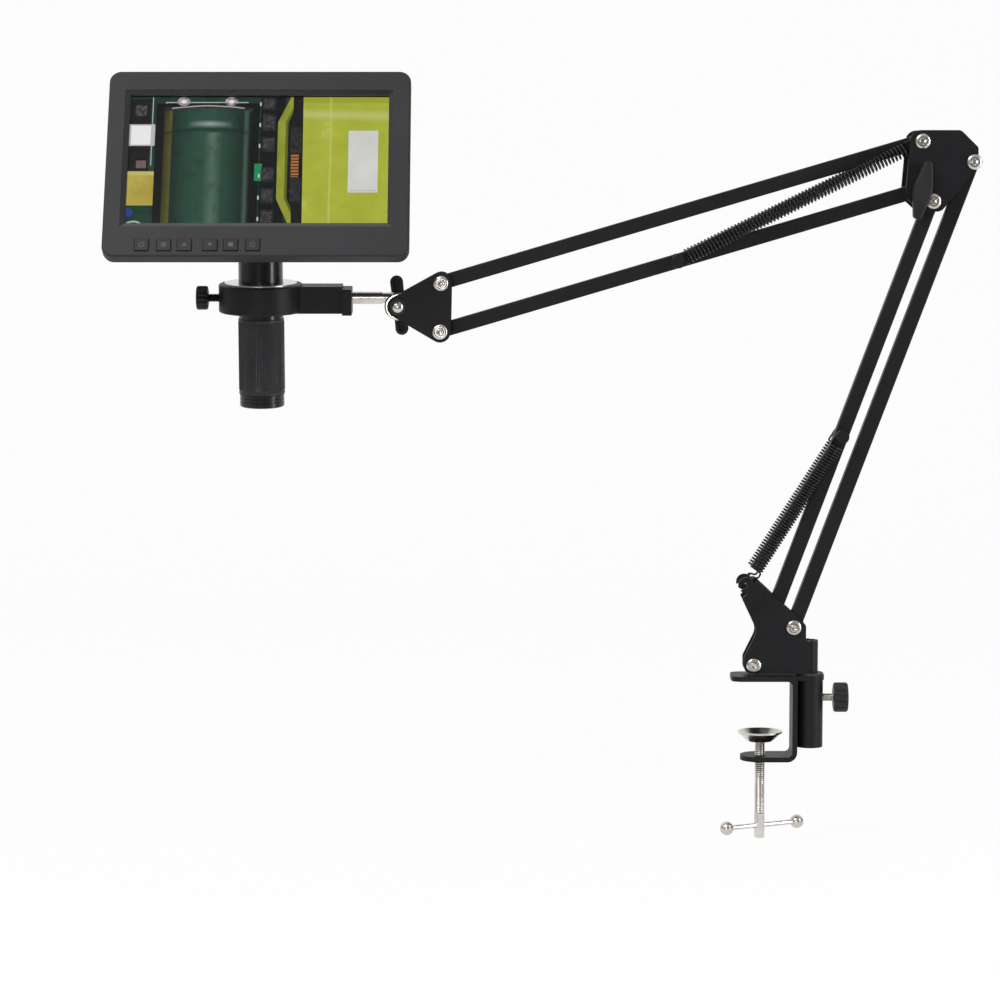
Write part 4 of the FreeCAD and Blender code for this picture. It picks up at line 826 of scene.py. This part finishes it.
# Monitor's case: charcoal moulded plastic with a fine spark-eroded grain, polished on the bevel
# round the screen, in a front bezel and a back cover with vents, held by four dark screws.
BEVEL_DEPTHS = (0.12, 3.0)
BEVEL_HALF_WIDE = 82.0
BEVEL_HEIGHTS = (18.0, 113.0)


def case_plastic(place):
    grain = place.noise(2400.0, 3.0, 0.7)
    cloud = place.noise(22.0, 3.0)
    tone = cloud * 0.6 + grain * 0.4
    colour = tone.ramp((0.3, (0.0105, 0.0107, 0.0125)), (0.72, (0.0175, 0.018, 0.0205)))
    x, depth, z = head_place(place, MONITOR)
    bevel = depth.between(*BEVEL_DEPTHS) * (x.abs() < BEVEL_HALF_WIDE) * z.between(*BEVEL_HEIGHTS)
    return {"Base Color": bevel.mixed(colour, (0.004, 0.004, 0.0045)),
            "Roughness": 0.46 + grain * 0.16 - bevel * 0.4, "Specular IOR Level": 0.35,
            "Coat Weight": bevel, "Normal": bump(grain * (1.0 - bevel * 0.8), 0.35, 0.00005)}


charcoal = finish("charcoal_case", case_plastic)
keep(["front_bezel", "back_cover", "power_socket"], charcoal)
keep(["case_screws"], black_plastic)


# Buttons: six caps in the same plastic, a shade darker and smoother, each with a small raised
# mark of a plain kind: a broken ring with a stroke, three bars, two arrows, a square, a ring.
def button_plastic(place):
    grain = place.noise(2600.0, 2.0)
    cloud = place.noise(120.0, 2.0)
    colour = cloud.ramp((0.3, (0.009, 0.0092, 0.0105)), (0.8, (0.0155, 0.0158, 0.0175)))
    return {"Base Color": colour, "Roughness": 0.36 + cloud * 0.1, "Specular IOR Level": 0.25,
            "Normal": bump(grain, 0.25, 0.00004)}


def mark_plastic(place):
    grain = place.noise(1800.0, 2.0)
    colour = grain.ramp((0.3, (0.045, 0.046, 0.05)), (0.8, (0.075, 0.076, 0.08)))
    return {"Base Color": colour, "Roughness": 0.4 + grain * 0.1}


button_finish = finish("button_plastic", button_plastic)
mark_finish = finish("button_marks", mark_plastic)
BUTTON_X = (-66.4, -53.5, -41.4, -26.3, -14.3, -1.4)
BUTTON_Z = 7.2
BUTTON_FACE = -0.8
MARK_HEIGHT = 0.15
keep(["button_" + str(i + 1) for i in range(6)], button_finish)


def ring_outline(radius, width, start, sweep):
    """Outline of a ring or part of one."""
    steps = 24
    turns = [math.radians(start + sweep * i / steps) for i in range(steps + 1)]
    outer = [(radius * math.cos(t), radius * math.sin(t)) for t in turns]
    inner = [((radius - width) * math.cos(t), (radius - width) * math.sin(t)) for t in reversed(turns)]
    return outer + inner


def box_outline(left, low, right, high):
    return [(left, low), (right, low), (right, high), (left, high)]


stroke = box_outline(-0.22, 0.3, 0.22, 1.9)
bars = [box_outline(-1.6, z - 0.28, 1.6, z + 0.28) for z in (-1.1, 0.0, 1.1)]
up_arrow = [(-1.5, -0.9), (1.5, -0.9), (0.0, 1.3)]
down_arrow = [(-1.5, 0.9), (0.0, -1.3), (1.5, 0.9)]
marks = [[ring_outline(1.7, 0.4, 120, 300), stroke], bars, [up_arrow], [down_arrow],
         [box_outline(-1.3, -1.3, 1.3, 1.3)], [ring_outline(1.6, 0.4, 0, 350)]]
for i, outlines in enumerate(marks):
    mark = bmesh.new()
    outward = MONITOR.to_3x3() @ Vector((0, -MARK_HEIGHT, 0))
    for outline in outlines:
        corners = [Vector((BUTTON_X[i] + x, BUTTON_FACE + 0.05, BUTTON_Z + z)) for x, z in outline]
        face = mark.faces.new([mark.verts.new(MONITOR @ corner) for corner in corners])
        grown = bmesh.ops.extrude_face_region(mark, geom=[face])["geom"]
        moved = [part for part in grown if isinstance(part, bmesh.types.BMVert)]
        bmesh.ops.translate(mark, vec=outward, verts=moved)
    piece_of("button_mark_" + str(i + 1), in_metres(mark), mark_finish, "button_" + str(i + 1))

# Two tiny dark lamp holes between the third and fourth buttons.
HOLES_X = -33.9
holes = bmesh.new()
for z in (8.5, 5.6):
    turned(holes, [(0.62, -0.02), (0.55, 0.06), (0.3, 0.02), (0.1, 0.0)], 24,
           MONITOR @ Matrix.Translation((HOLES_X, 0.0, z)) @ TO_FRONT)
piece_of("lamp_holes", in_metres(holes), barrel_black, "microscope")

# Screen: a glossy clear cover over a lit panel. The picture is a made-up close view of a circuit
# board: a green capacitor, a yellow-green transformer with a bare label, chips and blocks.
PANEL_WIDE, PANEL_TALL = 154.0, 86.0
PANEL_LOW = 22.6
PANEL_BACK = 3.9


def close_to(value, centre, reach):
    """1 at the centre, falling evenly to 0 at the reach on both sides of it."""
    return (1.0 - ((value - centre) / reach).abs()).clamped()


class Picture:
    """Layers of colour over each other, placed by shares u and v of the panel's width and height."""

    def __init__(self, place, u, v):
        self.flat = place.scaled(1.0, 0.0, 1.0)
        self.u = u
        self.v = v
        self.speck = self.flat.noise(420.0, 4.0, 0.7)
        self.soft = self.flat.noise(60.0, 3.0)
        self.wobble = (self.soft - 0.5) * 0.02
        self.grey = self.speck.ramp((0.35, (0.006, 0.006, 0.007)), (0.7, (0.05, 0.05, 0.053)))
        self.dark = self.speck.ramp((0.35, (0.003, 0.003, 0.003)), (0.75, (0.022, 0.02, 0.02)))
        self.colour = (self.soft * 0.6 + self.speck * 0.5).ramp(
            (0.3, (0.004, 0.012, 0.01)), (0.6, (0.012, 0.05, 0.03)), (0.85, (0.03, 0.11, 0.07)))

    def lay(self, mask, colour):
        self.colour = mask.mixed(self.colour, colour)

    def lay_box(self, u0, u1, v0, v1, colour):
        self.lay(self.u.between(u0, u1) * self.v.between(v0, v1), colour)

    def from_point(self, u, v, squeeze=1.0):
        """Squared distance from a point, in square millimetres of the panel."""
        du, dv = (self.u - u) * PANEL_WIDE, (self.v - v) * PANEL_TALL
        return du * du + dv * dv * squeeze


def draw_left_edge(picture):
    """Leads along the top, then a dark part, a white block, a dark gap and a yellow block."""
    tin = (0.5, 0.55, 0.52)
    yellow = picture.soft.ramp((0.3, (0.42, 0.33, 0.055)), (0.7, (0.55, 0.46, 0.09)))
    pale = picture.speck.ramp((0.4, (0.02, 0.02, 0.022)), (0.7, (0.16, 0.16, 0.17)))
    for box in ((0.085, 0.088, 0.46, 1.0, (0.55, 0.6, 0.58)), (0.135, 0.455, 0.955, 0.962, tin),
                (0.135, 0.138, 0.92, 0.96, tin), (0.0, 0.078, 0.78, 0.985, picture.dark),
                (0.02, 0.062, 0.85, 0.935, pale), (0.0, 0.078, 0.42, 0.62, picture.dark),
                (0.03, 0.068, 0.44, 0.5, (0.16, 0.12, 0.11)), (0.0, 0.098, 0.615, 0.785, (0.55, 0.53, 0.5)),
                (0.006, 0.082, 0.625, 0.775, (0.93, 0.92, 0.94)), (0.0, 0.104, 0.15, 0.415, yellow),
                (0.0, 0.104, 0.385, 0.415, (0.6, 0.52, 0.14))):
        picture.lay_box(*box)
    picture.lay(picture.from_point(0.045, 0.28).between(17.0, 21.0) * 0.5, (0.34, 0.27, 0.04))
    picture.lay(picture.from_point(0.008, 0.095) < 7.0, (0.02, 0.05, 0.3))
    arc = picture.from_point(0.03, -0.05).between(36.0, 49.0) * (picture.v < 0.12)
    picture.lay(arc, (0.45, 0.55, 0.5))


def draw_capacitor(picture):
    """A green sleeve shaded round its length, with a rolled groove, a stripe and two leads."""
    u, v, speck, soft, lay = picture.u, picture.v, picture.speck, picture.soft, picture.lay
    across_body = (u - 0.3) / 0.175
    curve = across_body * across_body
    edge = v - 0.915 + curve * 0.03 + picture.wobble * 0.4
    body = u.between(0.125, 0.475) * (edge < 0.0)
    lay(u.between(0.1, 0.5) * (v < 0.95), (0.004, 0.005, 0.005))
    shade = (1.0 - curve).clamped()
    lay(body, (shade * 0.86 + speck * 0.1).ramp(
        (0.05, (0.003, 0.006, 0.005)), (0.4, (0.008, 0.026, 0.018)),
        (0.75, (0.02, 0.062, 0.042)), (1.0, (0.034, 0.092, 0.064))))
    lay(body * u.between(0.132, 0.163),
        (shade + soft * 0.3).ramp((0.2, (0.03, 0.03, 0.008)), (0.9, (0.2, 0.18, 0.04))))
    lay(body * (close_to(u, 0.323, 0.036) * (0.1 + soft * 0.9)) * (v < 0.72), (0.13, 0.22, 0.18))
    stain = ((picture.flat.noise(150.0, 4.0, 0.7) - 0.52) * 5.0).clamped()
    lay(body * stain * 0.6, (0.008, 0.016, 0.011))
    lay(body * close_to(u, 0.45, 0.014) * 0.5, (0.12, 0.2, 0.16))
    groove = v - 0.745 + curve * 0.035 + picture.wobble * 0.4
    lay(body * close_to(groove, 0.0, 0.018) * 0.75, (0.004, 0.016, 0.012))
    lay(body * (close_to(groove, 0.045, 0.03) * close_to(u, 0.31, 0.09)) * 0.8, (0.42, 0.5, 0.47))
    lay(u.between(0.128, 0.472) * edge.between(0.0, 0.028), picture.grey)
    lay(u.between(0.16, 0.44) * edge.between(0.012, 0.02), (0.5, 0.48, 0.47))
    for lead in (0.205, 0.39):
        near = picture.from_point(lead, 0.965, 1.8)
        lay(near < 15.0, speck.ramp((0.35, (0.03, 0.03, 0.03)), (0.6, (0.5, 0.49, 0.48))))
        lay(near < 3.0, (0.85, 0.84, 0.83))


def draw_chips(picture):
    """A row of small black chips between the two large parts."""
    lid = picture.speck.ramp((0.4, (0.02, 0.019, 0.021)), (0.7, (0.1, 0.095, 0.1)))
    picture.lay_box(0.505, 0.60, 0.0, 1.0, (0.004, 0.006, 0.006))
    picture.lay_box(0.485, 0.515, 0.34, 0.475, (0.02, 0.26, 0.1))
    for low, high in ((0.9, 1.0), (0.735, 0.865), (0.57, 0.685),
                      (0.335, 0.445), (0.165, 0.285), (0.0, 0.115)):
        picture.lay_box(0.512, 0.562, low, high, picture.grey)
        picture.lay_box(0.517, 0.555, low + 0.02, high - 0.015, lid)
        picture.lay_box(0.5, 0.506, low + 0.03, low + 0.06, (0.6, 0.6, 0.58))


def draw_transformer(picture):
    """Folded tape, the winding, and a flat yellow-green side with a bare label."""
    u, v, speck, soft, lay = picture.u, picture.v, picture.speck, picture.soft, picture.lay
    fold = u - 0.572 - ((v - 0.5).abs() - 0.3).clamped() * 0.24
    lay(fold.between(-0.002, 0.2) * (u < 0.68), picture.dark)
    lay(fold.between(0.0, 0.04), soft.ramp((0.3, (0.22, 0.25, 0.02)), (0.7, (0.4, 0.43, 0.05))))
    lay(fold.between(0.03, 0.04), (0.12, 0.14, 0.012))
    turns = (v * 260.0).sin() * 0.5 + 0.5
    copper = turns.ramp((0.1, (0.1, 0.03, 0.008)), (0.9, (0.5, 0.2, 0.06)))
    for box in ((0.63, 0.67, 0.0, 1.0, picture.dark), (0.622, 0.664, 0.56, 0.76, picture.grey),
                (0.622, 0.664, 0.18, 0.36, picture.grey), (0.625, 0.655, 0.37, 0.55, copper)):
        picture.lay_box(*box)
    side = u > (0.672 - v * 0.004)
    lay(side, (soft * 0.7 + speck * 0.2).ramp((0.25, (0.38, 0.42, 0.03)), (0.75, (0.52, 0.57, 0.07))))
    crease = ((soft - 0.62) * 6.0).clamped()
    lay(side * crease * 0.45, (0.68, 0.72, 0.3))
    dust = ((picture.flat.noise(1100.0, 2.0) - 0.64) * 9.0).clamped()
    lay(side * dust * 0.5, (0.8, 0.82, 0.55))
    lay(side * close_to(v + u * 0.05, 0.9, 0.05) * 0.4, (0.72, 0.76, 0.36))
    lay(side * (v > 0.955), (0.36, 0.4, 0.04))
    lay(side * close_to(u - picture.wobble, 0.775, 0.006) * 0.5, (0.66, 0.7, 0.25))
    label = soft.ramp((0.3, (0.66, 0.66, 0.62)), (0.7, (0.76, 0.76, 0.73)))
    picture.lay_box(0.842, 0.962, 0.245, 0.735, (0.4, 0.44, 0.04))
    picture.lay_box(0.845, 0.96, 0.25, 0.735, label)
    picture.lay_box(0.852, 0.953, 0.262, 0.268, (0.5, 0.5, 0.47))


def lit_picture(place):
    x, depth, z = head_place(place, MONITOR)
    u = x / PANEL_WIDE + 0.5
    v = (z - PANEL_LOW) / PANEL_TALL
    picture = Picture(place, u, v)
    for draw in (draw_left_edge, draw_capacitor, draw_chips, draw_transformer):
        draw(picture)
    lit = u.between(0.0, 1.0) * v.between(0.0, 1.0) * (depth < PANEL_BACK)
    return {"Base Color": lit.mixed((0.03, 0.03, 0.032), (0.002, 0.002, 0.002)),
            "Emission Color": lit.mixed((0.0, 0.0, 0.0), picture.colour), "Emission Strength": 1.0,
            "Roughness": 0.4 + picture.speck * 0.05, "Specular IOR Level": 0.05}


keep(["lcd_panel"], finish("lit_panel", lit_picture))


def clear_cover(place):
    smear = place.noise(30.0, 3.0)
    fresnel = place.node("ShaderNodeFresnel", {}, {"IOR": 1.45})
    return {"Base Color": (0.02, 0.02, 0.02), "Roughness": 0.05 + smear * 0.06,
            "Alpha": (fresnel * 1.6 + 0.02).clamped()}


keep(["screen_glass"], finish("clear_cover", clear_cover))
